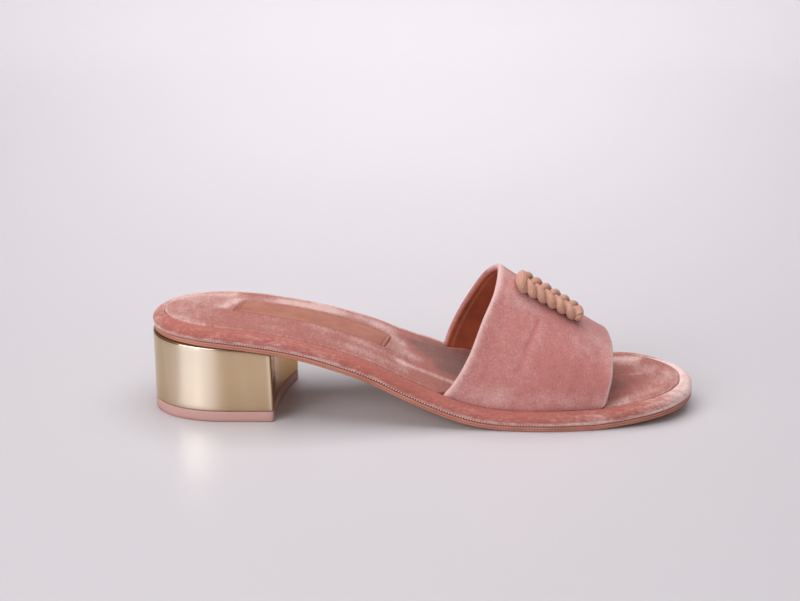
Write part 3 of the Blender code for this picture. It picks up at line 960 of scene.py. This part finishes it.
# Strokes of the pile on the sock: from x, y to x, y, half width, how much paler (or darker, below 0)
# The darker strokes under and just beside the vamp are painted shade, and the pale one at its front lateral
# foot is painted light
SOCK_PILE_AND_SHADE_STROKES = (
    (8.0, 16.0, 34.0, 23.0, 4.5, 0.66),
    (6.0, 10.0, 14.0, 15.0, 4.0, 0.30),
    (18.0, 10.0, 30.0, 15.0, 5.0, 0.24),
    (32.5, 2.0, 38.0, 13.0, 3.6, 0.66),
    (34.0, 18.0, 56.0, 19.0, 5.0, 0.22),
    (60.0, 19.5, 78.0, 20.0, 5.5, 0.90),
    (78.0, 20.5, 95.0, 20.5, 5.5, 0.50),
    (105.0, 18.0, 112.0, 10.0, 6.0, 0.74),
    (112.0, 6.0, 120.0, -1.0, 6.5, 0.26),
    (104.0, 23.0, 119.0, 23.0, 5.0, 0.36),
    (106.0, -4.0, 120.0, -3.0, 7.0, 0.36),
    (72.0, -9.0, 92.0, -11.0, 2.6, 0.12),
    (92.0, -12.0, 112.0, -16.0, 2.8, 0.26),
    (112.0, -16.5, 146.0, -15.5, 2.8, 0.60),
    (88.0, -24.0, 114.0, -23.0, 5.0, 0.26),
    (130.0, -26.0, 137.0, -26.0, 4.0, -0.35),
    (136.0, 31.0, 170.0, 34.0, 1.4, 0.70),
    (42.0, -9.0, 84.0, -10.0, 4.0, 0.16),
    (46.0, -18.0, 96.0, -22.0, 4.0, 0.12),
    (20.0, -4.0, 24.0, 6.0, 9.0, 0.28),
    (9.0, -6.0, 10.0, 6.0, 6.0, 0.20),
    (18.0, -15.0, 26.0, -14.0, 6.0, 0.14),
    (12.0, -14.0, 26.0, -24.0, 2.4, 0.30),
    (122.0, 16.0, 176.0, 14.0, 14.0, -0.75),
    (132.0, -2.0, 176.0, 0.0, 7.0, -0.60),
    (170.0, 0.0, 204.0, -4.0, 18.0, -0.70),
    (212.0, 12.0, 222.0, 9.0, 6.0, -0.24),
    (210.0, -4.0, 226.0, -6.0, 4.0, -0.32),
    (212.0, -13.0, 221.0, -12.0, 4.0, -0.30),
    (220.0, 4.0, 231.0, 3.0, 1.5, 0.34),
    (236.0, 4.0, 226.0, 20.0, 5.0, 0.22),
    (216.0, 23.0, 226.0, 22.0, 6.0, 0.22),
    (232.0, 20.0, 238.0, 12.0, 5.0, 0.20),
    (208.0, 31.0, 232.0, 25.0, 3.5, 0.80),
    (245.0, 0.0, 240.0, 12.0, 3.0, 0.08),
    (247.0, -8.0, 246.0, -4.0, 3.0, 0.12),
    (232.0, -14.0, 244.0, -2.0, 5.0, 0.20),
    (226.0, -6.0, 240.0, 2.0, 14.0, 0.19),
    (222.0, -25.0, 236.0, -20.0, 4.0, 0.32),
    (206.0, -29.0, 218.0, -29.0, 4.0, 0.50),
)
SOCK_NAP = 0.03
SOCK_FUZZ = 0.26
SOCK_FUZZ_INSETS = (1.4, 0.2)
MAUVE = (0.382, 0.142, 0.118, 1.0)
MAUVE_DULL_AND_SHADE = (0.228, 0.112, 0.099, 1.0)
MAUVE_PALE = (0.650, 0.425, 0.390, 1.0)
SOCK_STREAK = (1.0, 0.35, 1.0)


def strokes(rows, x, y):
    """Sum of soft strokes at a point. A row holds a stroke's two ends, its half width and its strength."""
    total = 0.0
    for x0, y0, x1, y1, width, strength in rows:
        run_x, run_y = x1 - x0, y1 - y0
        reach = clamp(((x - x0) * run_x + (y - y0) * run_y) / (run_x * run_x + run_y * run_y))
        distance = math.hypot(x - x0 - run_x * reach, y - y0 - run_y * reach)
        total += strength * bell(distance, width)
    return total


def sock_inset(angle):
    """The sock fills the rand, and draws in where the feet of the vamp stand beside it."""
    x, y = outline_point(angle)
    rear = (VAMP_REAR_LATERAL if y < 0.0 else VAMP_REAR_MEDIAL) - SOCK_STEP_MARGIN
    front = (VAMP_FRONT_LATERAL if y < 0.0 else VAMP_FRONT_MEDIAL) + SOCK_STEP_MARGIN
    beside = soft_step(rear, rear + SOCK_STEP_RUN, x) * soft_step(front, front - SOCK_STEP_RUN, x)
    return SOCK_INSET + SOCK_STEP * beside


def sock_cup(x, y):
    """Rise of the sock's padding against the inner side of the vamp, on the arch side of the foot."""
    gap = half_width(2.0 * math.pi - turn_at(x)) - SOCK_INSET - SOCK_STEP - y
    start = soft_step(VAMP_REAR_MEDIAL, VAMP_REAR_MEDIAL + SOCK_CUP_RUN, x)
    return SOCK_CUP * start * soft_step(*SOCK_CUP_END, x) * soft_step(SOCK_CUP_REACH, 0.0, gap)


def label_place(x, y):
    """Point of the last in the label's own straight lines, as it is laid a little askew."""
    along = x - 0.5 * (LABEL_START + LABEL_END)
    across = y - 0.5 * (LABEL_LATERAL + LABEL_MEDIAL)
    return x - LABEL_SKEW * across, y + LABEL_TURN * along


def label_lip(x, y):
    """Rise of the velvet round the label, and the bed that is pressed under it."""
    x, y = label_place(x, y)
    out_x = max(LABEL_START - x, x - LABEL_END)
    out_y = max(LABEL_LATERAL - y, y - LABEL_MEDIAL)
    outside = max(out_x, out_y)
    if outside < 0.0:
        return -LABEL_BED * soft_step(0.0, -LABEL_BED_RUN, outside)
    return LABEL_LIP * bell(math.hypot(max(0.0, out_x), max(0.0, out_y)), LABEL_LIP_REACH)


def sock_rows():
    """Rings of the sock as inset, height and draw: its seat, its rolled edge, then its top to the spine."""
    last_inset, last_height = SOCK_EDGE[-1]
    rows = [(*SOCK_EDGE[0], draw) for draw in reversed(SOLE_DRAWS)]
    rows += [(*row, 0.0) for row in SOCK_EDGE]
    for i in range(1, SOCK_TOP_ROWS + 1):
        draw = i / SOCK_TOP_ROWS
        rows.append((last_inset, mix(last_height, SOCK_TOP_HEIGHT, soft_step(0.0, 0.5, draw)), draw))
    return rows


def sock_ring(inset, height, draw):
    """Points of a ring of the sock, and how its pile lies there: fuzzy at the edge, then by its strokes, with
    painted shade near the vamp.
    """
    points = []
    lie = []
    edge = SOCK_NAP + SOCK_FUZZ * soft_step(*SOCK_FUZZ_INSETS, inset)
    top = height > SOCK_EDGE[0][1]
    for i in range(SOLE_POINTS):
        angle = ring_angle(i)
        x, y = drawn_point(angle, sock_inset(angle) + inset, draw)
        rise = label_lip(x, y) + sock_cup(x, y) if top else 0.0
        points.append(sole_point(x, y, height + rise))
        lie.append(edge + strokes(SOCK_PILE_AND_SHADE_STROKES, x, y))
    return points, lie


sock_made = [sock_ring(*row) for row in sock_rows()]
sock = wrap_grid("sock_velvet_pad", [made[0] for made in sock_made], [made[1] for made in sock_made])
sock_velvet = velvet_finish("sock_velvet", MAUVE, MAUVE_DULL_AND_SHADE, MAUVE_PALE, 0.50, 0.20, SOCK_STREAK)
finish_piece(sock, sock_velvet, "sock_velvet", "sock")


# Label
# A bare strip of tan leather, let into the sock over the heel seat and glued down. A fine line is pressed
# into it all round, a little inside its edge, where the shade of its recess is painted dark.

LABEL_CELLS = (180, 60)
LABEL_HEIGHT = 9.95
LABEL_ROOT = 8.9
LABEL_EDGE_ROUND = 1.1
LABEL_LINE_INSET = 1.9
LABEL_LINE_HALF_WIDTH = 0.32
LABEL_LINE_DEPTH = 0.42
LABEL_UNDER = 0.1
LABEL_EDGE_SHADE = 0.85
LABEL_EDGE_WIDTHS = (1.0, 0.3)
LABEL_TAN = (0.435, 0.175, 0.122, 1.0)
LABEL_BROWN = (0.355, 0.134, 0.090, 1.0)
LABEL_RECESS_SHADE = (0.150, 0.050, 0.032, 1.0)


def label_height(edge):
    """Height of the label's face: rounded down at its edge, with the pressed line inside."""
    face = mix(LABEL_ROOT, LABEL_HEIGHT, math.sqrt(clamp(1.0 - clamp(1.0 - edge / LABEL_EDGE_ROUND) ** 2)))
    return face - LABEL_LINE_DEPTH * bell(edge - LABEL_LINE_INSET, LABEL_LINE_HALF_WIDTH)


def label_finish():
    """Tan leather with little gloss, with the shade of its recess painted along its edge."""
    finish, tree, shader, _ = leather_finish(
        "label_leather", LABEL_TAN, LABEL_BROWN, LABEL_RECESS_SHADE, grain=1100.0, relief=0.35, depth=0.00012,
    )
    fill(tree, shader, {"Specular IOR Level": 0.25})
    return finish


bpy.ops.object.select_all(action="DESELECT")
bpy.ops.mesh.primitive_grid_add(x_subdivisions=LABEL_CELLS[0], y_subdivisions=LABEL_CELLS[1], size=1.0)
label = named("label_inlay")
bpy.ops.object.mode_set(mode="EDIT")
bpy.ops.mesh.select_all(action="SELECT")
bpy.ops.mesh.extrude_region_move(TRANSFORM_OT_translate={"value": (0.0, 0.0, 1.0)})
bpy.ops.mesh.select_all(action="SELECT")
bpy.ops.mesh.normals_make_consistent(inside=False)
bpy.ops.object.mode_set(mode="OBJECT")
shade = label.data.attributes.new("nap", "FLOAT", "POINT")
label_long = LABEL_END - LABEL_START
label_wide = LABEL_MEDIAL - LABEL_LATERAL
askew = 1.0 + LABEL_SKEW * LABEL_TURN
for vert in label.data.vertices:
    along = label_long * vert.co.x
    across = label_wide * vert.co.y
    edge = min(0.5 * label_long - abs(along), 0.5 * label_wide - abs(across))
    x = 0.5 * (LABEL_START + LABEL_END) + (along + LABEL_SKEW * across) / askew
    y = 0.5 * (LABEL_LATERAL + LABEL_MEDIAL) + (across - LABEL_TURN * along) / askew
    face = vert.co.z > 0.5
    vert.co = sole_point(x, y, label_height(edge) if face else LABEL_ROOT - LABEL_UNDER)
    # Painted shade of the recess along the label's edge
    shade.data[vert.index].value = LABEL_EDGE_SHADE * soft_step(*LABEL_EDGE_WIDTHS, edge)
bpy.ops.object.shade_smooth_by_angle(angle=math.radians(40.0))
finish_piece(label, label_finish(), "label_leather", "label")


# Vamp
# One broad velvet band over the ball of the foot, folded round a soft interlining at both open edges. Its
# feet are lasted into the groove between rand and sock, and wear has creased it softly and brushed its pile.

INSTEP_HEIGHT = 67.0
TOE_OPENING_HEIGHT = 31.7
VAMP_INSET = 5.6
VAMP_FOOT_HEIGHT = 7.6
VAMP_REAR_CREST = 162.2
VAMP_FRONT_CREST = 215.1
VAMP_CREST_BOW = 0.2
VAMP_REAR_ROUNDNESS = 1.95
VAMP_FRONT_ROUNDNESS = 2.4
VAMP_SIDE_BULGE = 1.2
# Edges of the vamp in side view: height share, then the runs from foot to crest of the lateral rear edge,
# the medial rear edge and the front edge
VAMP_EDGES = (
    (0.00, 0.00, 0.00, 0.00),
    (0.10, 0.16, 0.05, 0.30),
    (0.33, 0.42, 0.23, 0.46),
    (0.65, 0.685, 0.55, 0.72),
    (0.85, 0.89, 0.77, 0.84),
    (1.00, 1.00, 1.00, 1.00),
)
VAMP_ALONG_CELLS = 96
VAMP_OVER_CELLS = 184
VAMP_RIM_CELLS = 8
EDGE_SWELL = 0.5
EDGE_SWELL_REACH = 2.6
# Sizes of the band's flat pattern, which place its creases and strokes: along the foot, over the foot
VAMP_FLAT = (62.0, 128.0)
# Creases of the vamp on its flat pattern: from along, over to along, over, half width, depth
VAMP_CREASES = (
    (23.5, 40.0, 22.0, 27.0, 1.0, 0.36),
    (22.0, 27.0, 20.5, 15.0, 1.4, 0.22),
    (26.0, 39.0, 24.5, 22.0, 2.4, -0.14),
    (12.0, 40.0, 8.0, 16.0, 3.2, 0.25),
    (50.0, 30.0, 47.0, 10.0, 2.6, 0.22),
    (40.0, 22.0, 38.0, 8.0, 2.2, 0.20),
    (20.0, 12.0, 16.0, 4.0, 2.4, 0.20),
    (54.0, 46.0, 56.0, 26.0, 2.8, 0.30),
    (28.0, 80.0, 26.0, 104.0, 2.6, 0.45),
    (48.0, 86.0, 50.0, 110.0, 3.0, 0.35),
    (12.0, 90.0, 8.0, 112.0, 3.0, 0.30),
)
# Strokes of the pile on its flat pattern: from along, over to along, over, half width, how much paler (darker
# below 0)
VAMP_PILE_AND_SHADE_STROKES = (
    (1.5, 3.0, 18.0, 4.5, 3.5, 0.22),
    (18.0, 4.5, 60.0, 5.0, 3.2, 0.16),
    (0.8, 0.0, 0.8, 66.0, 1.3, 0.46),
    (0.8, 46.0, 0.8, 82.0, 1.5, 0.46),
    (61.6, 0.0, 61.6, 128.0, 0.8, 0.70),
    (6.0, 46.0, 16.0, 48.0, 7.0, 0.20),
    (4.0, 58.0, 12.0, 60.0, 5.0, 0.26),
    (46.0, 54.0, 58.0, 46.0, 6.0, 0.32),
    (40.0, 40.0, 56.0, 36.0, 6.0, 0.14),
    (36.0, 18.0, 56.0, 18.0, 8.0, -0.20),
    (30.0, 26.0, 40.0, 22.0, 7.0, -0.10),
    (8.0, 26.0, 18.0, 24.0, 6.0, -0.06),
    # Painted shade along the deep crease
    (23.3, 40.0, 20.8, 16.0, 0.9, -0.24),
    (26.4, 40.0, 24.4, 20.0, 1.6, 0.12),
    (36.0, 48.0, 52.0, 54.0, 3.5, -0.12),
    (10.0, 100.0, 50.0, 96.0, 16.0, 0.10),
    (0.0, 124.0, 62.0, 125.0, 4.0, 0.35),
)
VAMP_NAP = 0.20
# Painted shade on the turned-in side of the band
VAMP_INSIDE_PAINTED_SHADE = -0.9
# Painted sheen on the folded rims that face the eye, and where it starts and is full over the foot
VAMP_RIM_PAINTED_SHEEN = 0.45
VAMP_RIM_SHEEN_FADE = (86.0, 68.0)
VAMP_ROSE = (0.505, 0.192, 0.176, 1.0)
VAMP_DULL_AND_SHADE = (0.250, 0.085, 0.065, 1.0)
VAMP_PALE = (0.680, 0.435, 0.412, 1.0)

vamp_runs = [curve_through(VAMP_EDGES, column) for column in (1, 2, 3)]


@functools.lru_cache(maxsize=None)
def vamp_foot(along, medial):
    """Point in the groove of the rand where a foot of the vamp stands, in the last's millimetres."""
    rear = VAMP_REAR_MEDIAL if medial else VAMP_REAR_LATERAL
    front = VAMP_FRONT_MEDIAL if medial else VAMP_FRONT_LATERAL
    angle = turn_at(mix(rear, front, along))
    x, y = inset_point(2.0 * math.pi - angle if medial else angle, VAMP_INSET)
    return (sole_point(x, y, VAMP_FOOT_HEIGHT) - last_origin) / MM


def vamp_section(along, width, height):
    """Point of the vamp from its width share (-1 lateral to 1 medial) and its height share."""
    foot = vamp_foot(along, width > 0.0)
    crest_x = mix(VAMP_REAR_CREST, VAMP_FRONT_CREST, along)
    crest_z = mix(INSTEP_HEIGHT, TOE_OPENING_HEIGHT, along) + VAMP_CREST_BOW * math.sin(math.pi * along)
    run = mix(vamp_runs[1 if width > 0.0 else 0](height), vamp_runs[2](height), along)
    bulge = VAMP_SIDE_BULGE * along * math.sin(math.pi * height)
    y = foot.y * abs(width) + math.copysign(bulge, width)
    return Vector((mix(foot.x, crest_x, run), y, mix(foot.z, crest_z, height)))


def vamp_roundness(along):
    return mix(VAMP_REAR_ROUNDNESS, VAMP_FRONT_ROUNDNESS, along)


def vamp_arch(along, turn):
    """Point of the vamp at a turn over the foot: 0 at the lateral foot, 1 at the medial one."""
    power = 2.0 / vamp_roundness(along)
    angle = math.pi * turn
    width = math.copysign(abs(math.cos(angle)) ** power, -math.cos(angle))
    return vamp_section(along, width, max(0.0, math.sin(angle)) ** power)


def vamp_frame(along, turn):
    """Point of the vamp's outer face with its outward normal, and its forward run."""
    step = 0.004
    before = max(step, min(1.0 - step, turn))
    forward = vamp_arch(along + step, turn) - vamp_arch(along - step, turn)
    over = vamp_arch(along, before + step) - vamp_arch(along, before - step)
    return vamp_arch(along, turn), forward.cross(over).normalized(), forward / (2.0 * step)


def band_ring(turn, margin, outside, wall, swell, creased):
    """Closed section of a band over the vamp at one turn, its middle line, and its places on the pattern.

    The margin is its distance from the vamp's edges, and outside is its depth under the vamp's outer face.
    """
    reach = vamp_frame(0.5, turn)[2].length
    start = (margin + 0.5 * wall) / reach
    upper, lower, flat = [], [], []
    for i in range(VAMP_ALONG_CELLS + 1):
        along = mix(start, 1.0 - start, i / VAMP_ALONG_CELLS)
        point, normal, _ = vamp_frame(along, turn)
        edge = min(i, VAMP_ALONG_CELLS - i) / VAMP_ALONG_CELLS * reach
        fold = 0.5 * swell * bell(edge, EDGE_SWELL_REACH)
        along, over = along * VAMP_FLAT[0], turn * VAMP_FLAT[1]
        crease = strokes(VAMP_CREASES, along, over) if creased else 0.0
        upper.append(point + normal * (fold - outside - crease))
        lower.append(point - normal * (outside + wall + fold + crease))
        flat.append((along, over, False))
    ring = list(upper)
    where = list(flat)
    for end, ahead in ((VAMP_ALONG_CELLS, 1.0), (0, -1.0)):
        centre = (upper[end] + lower[end]) * 0.5
        rise = upper[end] - centre
        run = vamp_frame(mix(start, 1.0 - start, end / VAMP_ALONG_CELLS), turn)[2].normalized() * ahead
        for k in range(1, VAMP_RIM_CELLS):
            angle = math.pi * k / VAMP_RIM_CELLS * ahead
            if ahead < 0.0:
                angle += math.pi
            ring.append(centre + rise * math.cos(angle) + run * abs(math.sin(angle)) * rise.length)
            where.append((VAMP_FLAT[0] if ahead > 0.0 else 0.0, turn * VAMP_FLAT[1], False))
        if ahead > 0.0:
            ring += reversed(lower)
            where += [(along, over, True) for along, over, _ in reversed(flat)]
    middle = [(a + b) * 0.5 for a, b in zip(upper, lower)]
    rim = VAMP_RIM_CELLS - 1
    spine = middle + [middle[-1]] * rim + middle[::-1] + [middle[0]] * rim
    return ring, spine, where


def band(name, turns, margin, outside, wall, swell, creased, nap):
    """A band over the vamp through its sections, closed at both feet."""
    made = [band_ring(turn, margin, outside, wall, swell, creased) for turn in turns]
    rings = [made[0][1]] + [ring for ring, _, _ in made] + [made[-1][1]]
    places = [made[0][2]] + [where for _, _, where in made] + [made[-1][2]]
    points = [[to_frame(*point) for point in ring] for ring in rings]
    lie = [[nap(*place) for place in row] for row in places]
    return wrap_grid(name, points, lie)


def vamp_lie(along, over, inside):
    """Paleness of the pile by its strokes, with painted shade on the turned-in side and a painted sheen on
    the folds that face the eye.
    """
    if inside:
        return VAMP_INSIDE_PAINTED_SHADE
    fold = along <= 0.0 or along >= VAMP_FLAT[0]
    rim = VAMP_RIM_PAINTED_SHEEN * soft_step(*VAMP_RIM_SHEEN_FADE, over) if fold else 0.0
    return VAMP_NAP + rim + strokes(VAMP_PILE_AND_SHADE_STROKES, along, over)


vamp_turns = [i / VAMP_OVER_CELLS for i in range(VAMP_OVER_CELLS + 1)]
vamp = band(
    "vamp_velvet_band", vamp_turns, margin=0.0, outside=0.0, wall=VAMP_WALL, swell=EDGE_SWELL, creased=True,
    nap=vamp_lie,
)
vamp_velvet = velvet_finish("vamp_velvet", VAMP_ROSE, VAMP_DULL_AND_SHADE, VAMP_PALE, 0.40, 0.40)
finish_piece(vamp, vamp_velvet, "vamp_velvet", "vamp")


# Vamp lining
# A terracotta leather lining, glued under the vamp and stopped short of its folded edges. Its cut edge shows
# as a fine pale line inside the throat, and a seam is pressed into it a little farther in.

LINING_MARGIN = 0.9
LINING_SEAM = 3.0
LINING_SEAM_WIDTH = 0.4
LINING_SEAM_PALENESS = 0.6
LINING_CUT_PALENESS = 0.4
LINING_WALL = 0.75
LINING_SEAT = 0.02
LINING_START = 0.008
TERRACOTTA = (0.460, 0.104, 0.048, 1.0)
TERRACOTTA_DARK = (0.280, 0.058, 0.030, 1.0)
LINING_EDGE = (0.560, 0.235, 0.140, 1.0)


def lining_lie(along, over, inside):
    """Paleness of the lining: its cut edge, and the seam that is pressed a little inside it."""
    edge = min(along, VAMP_FLAT[0] - along)
    cut = LINING_CUT_PALENESS if edge <= 0.0 else 0.0
    return max(cut, LINING_SEAM_PALENESS * bell(edge - LINING_SEAM, LINING_SEAM_WIDTH))


lining = band(
    "vamp_lining", [mix(LINING_START, 1.0 - LINING_START, turn) for turn in vamp_turns], margin=LINING_MARGIN,
    outside=VAMP_WALL + LINING_SEAT, wall=LINING_WALL, swell=0.0, creased=False, nap=lining_lie,
)
lining_leather = leather_finish(
    "lining_leather", TERRACOTTA, TERRACOTTA_DARK, LINING_EDGE, grain=700.0, relief=0.3, depth=0.00015,
)[0]
finish_piece(lining, lining_leather, "vamp_velvet")


# Plaited ornament
# Three padded suede cords, plaited flat on the crest of the vamp and bound at both ends by a wrap of the same
# suede. It is sewn through the vamp from below.

PLAIT_START = 0.16
PLAIT_END = 0.65
PLAIT_OFFSET = -8.0
PLAIT_SWING = 3.9
PLAIT_WEAVE = 1.0
PLAIT_TURNS = 2.0
PLAIT_GAP = 0.3
CORD_RADIUS = 2.1
CORD_POINTS = 110
BINDER_SIZE = (2.6, 6.2, 3.1)
BINDER_GROOVE = 0.028
BINDER_WRAPS = 4.0
SUEDE = (0.520, 0.255, 0.180, 1.0)
SUEDE_DULL = (0.370, 0.150, 0.098, 1.0)
SUEDE_PALE = (0.640, 0.390, 0.300, 1.0)


def vamp_crest(along, across):
    """Point and outward normal of the vamp near its crest, at a sideways distance from it."""

    def at(along_here, across_here):
        width = across_here / abs(vamp_foot(along_here, across_here > 0.0).y)
        power = vamp_roundness(along_here)
        return vamp_section(along_here, width, (1.0 - abs(width) ** power) ** (1.0 / power))

    step = 0.01
    side_step = 0.2
    forward = at(along + step, across) - at(along - step, across)
    sideways = at(along, across + side_step) - at(along, across - side_step)
    return at(along, across), forward.cross(sideways).normalized()


def plait_strand(index):
    """Centre line of one of the three cords, swinging sideways and over and under its neighbours."""
    points = []
    for i in range(CORD_POINTS):
        share = i / (CORD_POINTS - 1)
        swing = 2.0 * math.pi * (PLAIT_TURNS * share + index / 3.0)
        across = PLAIT_OFFSET + PLAIT_SWING * math.sin(swing)
        point, normal = vamp_crest(mix(PLAIT_START, PLAIT_END, share), across)
        rise = CORD_RADIUS + PLAIT_GAP + PLAIT_WEAVE * (1.0 + math.sin(2.0 * swing))
        points.append(to_frame(*(point + normal * rise)))
    return points


def add_cord(index):
    """Round cord along its strand, as a closed mesh."""
    cord = add_line(f"plait_cord_{index}", plait_strand(index))
    cord.data.bevel_depth = CORD_RADIUS * MM
    cord.data.bevel_resolution = 8
    cord.data.use_fill_caps = True
    bpy.ops.object.select_all(action="DESELECT")
    cord.select_set(True)
    bpy.context.view_layer.objects.active = cord
    bpy.ops.object.convert(target="MESH")
    close_seams()
    bpy.ops.object.shade_smooth_by_angle(angle=math.radians(50.0))
    return bpy.context.object


def add_binder(name, along):
    """Rounded wrap over the cords' ends, scored by its turns."""
    point, normal = vamp_crest(along, PLAIT_OFFSET)
    centre = point + normal * (BINDER_SIZE[2] + PLAIT_GAP)
    turn = Vector((0.0, 0.0, 1.0)).rotation_difference(normal)
    bpy.ops.object.select_all(action="DESELECT")
    bpy.ops.mesh.primitive_uv_sphere_add(segments=56, ring_count=36, radius=1.0)
    binder = named(name)
    for vert in binder.data.vertices:
        x, y, z = vert.co
        groove = 1.0 - BINDER_GROOVE * (1.0 + math.cos(math.pi * BINDER_WRAPS * (x + 1.0)))
        shaped = Vector((x * BINDER_SIZE[0], y * BINDER_SIZE[1] * groove, z * BINDER_SIZE[2] * groove))
        vert.co = to_frame(*(centre + turn @ shaped))
    bpy.ops.object.shade_smooth()
    return binder


def suede_finish():
    """Suede: a pile like the velvet's, but tan, even in its lie and more broken."""
    finish, tree, shader = new_finish("cord_suede")
    pile = use_group(
        tree, velvet_pile, Dull=SUEDE_DULL, Rose=SUEDE, Pale=SUEDE_PALE,
        Nap=0.3, Mottle=0.7, Stretch=EVEN_STREAK,
    )
    fill(tree, shader, {
        "Base Color": pile["Colour"],
        "Roughness": pile["Roughness"],
        "Specular IOR Level": 0.2,
        "Sheen Weight": 0.25,
        "Sheen Roughness": 0.5,
        "Normal": bumped(tree, pile["Height"], 0.5, 0.0003),
    })
    return finish


cord_suede = suede_finish()
for index in range(3):
    finish_piece(add_cord(index), cord_suede, "cord_suede", "ornament")
for name, along in (("plait_binder_rear", PLAIT_START), ("plait_binder_front", PLAIT_END)):
    finish_piece(add_binder(name, along), cord_suede, "cord_suede", "ornament")


# Studio
# A seamless sweep of pale paper, a softbox overhead, a key softbox with its wing on the front left, a fill in
# front, two lamps that light the paper behind, and the camera at the photograph's place. None of it is part
# of the shoe.

SWEEP_HALF_WIDTH = 2.2
SWEEP_FRONT = -2.0
SWEEP_BEND = 1.0
SWEEP_RADIUS = 0.9
SWEEP_CELLS = 64
PAPER = (0.620, 0.596, 0.622, 1.0)
PAPER_TOOTH = (0.570, 0.550, 0.570, 1.0)
PAPER_TOOTH_SHARE = 0.06
CAMERA_PLACE = (-0.0113, -0.7151, 0.2772)
CAMERA_PITCH = 17.7
CAMERA_LENS = 72.0
# Lights: name, place, the point it is turned to, width, height, spread in degrees, power, colour
LIGHTS = (
    ("overhead_softbox", (0.0, 0.06, 0.68), (0.0, 0.04, 0.0), 0.95, 0.85, 180.0, 5.7, (1.0, 0.98, 0.99)),
    ("key_softbox", (-1.14, -0.93, 0.70), (0.0, 0.0, 0.0), 0.9, 0.7, 180.0, 9.4, (1.0, 0.98, 0.98)),
    ("key_wing", (-0.74, -1.20, 0.70), (0.0, 0.0, 0.0), 0.7, 0.7, 180.0, 4.2, (1.0, 0.98, 0.98)),
    ("front_fill", (0.35, -1.40, 0.90), (0.0, 0.0, 0.04), 1.0, 0.8, 180.0, 2.4, (1.0, 0.98, 0.98)),
    ("rear_glow", (0.0, 0.60, 0.85), (0.0, 0.62, 0.0), 0.45, 0.35, 85.0, 0.75, (1.0, 0.98, 1.0)),
    ("backdrop_wash", (0.0, 1.15, 1.00), (0.0, 1.25, 0.0), 1.8, 0.4, 110.0, 7.3, (1.0, 0.98, 1.0)),
)
WORLD_LIGHT = (0.90, 0.88, 0.92, 1.0)
WORLD_STRENGTH = 0.16


def sweep_point(across, back):
    """Point of the paper: flat to the bend, then up along an arc."""
    flat = SWEEP_BEND - SWEEP_FRONT
    length = (flat + 0.5 * math.pi * SWEEP_RADIUS) * back
    x = mix(-SWEEP_HALF_WIDTH, SWEEP_HALF_WIDTH, across)
    if length < flat:
        return Vector((x, SWEEP_FRONT + length, 0.0))
    angle = (length - flat) / SWEEP_RADIUS
    return Vector((x, SWEEP_BEND + SWEEP_RADIUS * math.sin(angle), SWEEP_RADIUS * (1.0 - math.cos(angle))))


def paper_finish():
    """Satin paper with a faint tooth."""
    finish, tree, shader = new_finish("pale_paper")
    tooth = ramp(tree, speckle(tree, object_place(tree), 700.0), 0.3, 0.7, 0.0, PAPER_TOOTH_SHARE)
    fill(tree, shader, {"Base Color": mix_colours(tree, tooth, PAPER, PAPER_TOOTH), "Roughness": 0.38})
    return finish


bpy.ops.object.select_all(action="DESELECT")
bpy.ops.mesh.primitive_grid_add(x_subdivisions=1, y_subdivisions=SWEEP_CELLS, size=1.0)
sweep = named("paper_sweep")
for vert in sweep.data.vertices:
    vert.co = sweep_point(vert.co.x + 0.5, vert.co.y + 0.5)
bpy.ops.object.shade_smooth()
sweep.data.materials.append(paper_finish())

for name, place, target, width, height, spread, power, colour in LIGHTS:
    turn = (Vector(target) - Vector(place)).to_track_quat("-Z", "Y").to_euler()
    bpy.ops.object.light_add(type="AREA", location=place, rotation=turn)
    lamp = bpy.context.object
    lamp.name = name
    lamp.data.shape = "RECTANGLE"
    lamp.data.size = width
    lamp.data.size_y = height
    lamp.data.spread = math.radians(spread)
    lamp.data.energy = power
    lamp.data.color = colour

world = bpy.data.worlds.new("studio_air")
world.use_nodes = True
world.node_tree.nodes["Background"].inputs["Color"].default_value = WORLD_LIGHT
world.node_tree.nodes["Background"].inputs["Strength"].default_value = WORLD_STRENGTH
bpy.context.scene.world = world
bpy.context.scene.view_settings.view_transform = "Standard"

bpy.ops.object.camera_add(location=CAMERA_PLACE, rotation=(math.radians(90.0 - CAMERA_PITCH), 0.0, 0.0))
camera = bpy.context.object
camera.data.lens = CAMERA_LENS
bpy.context.scene.camera = camera
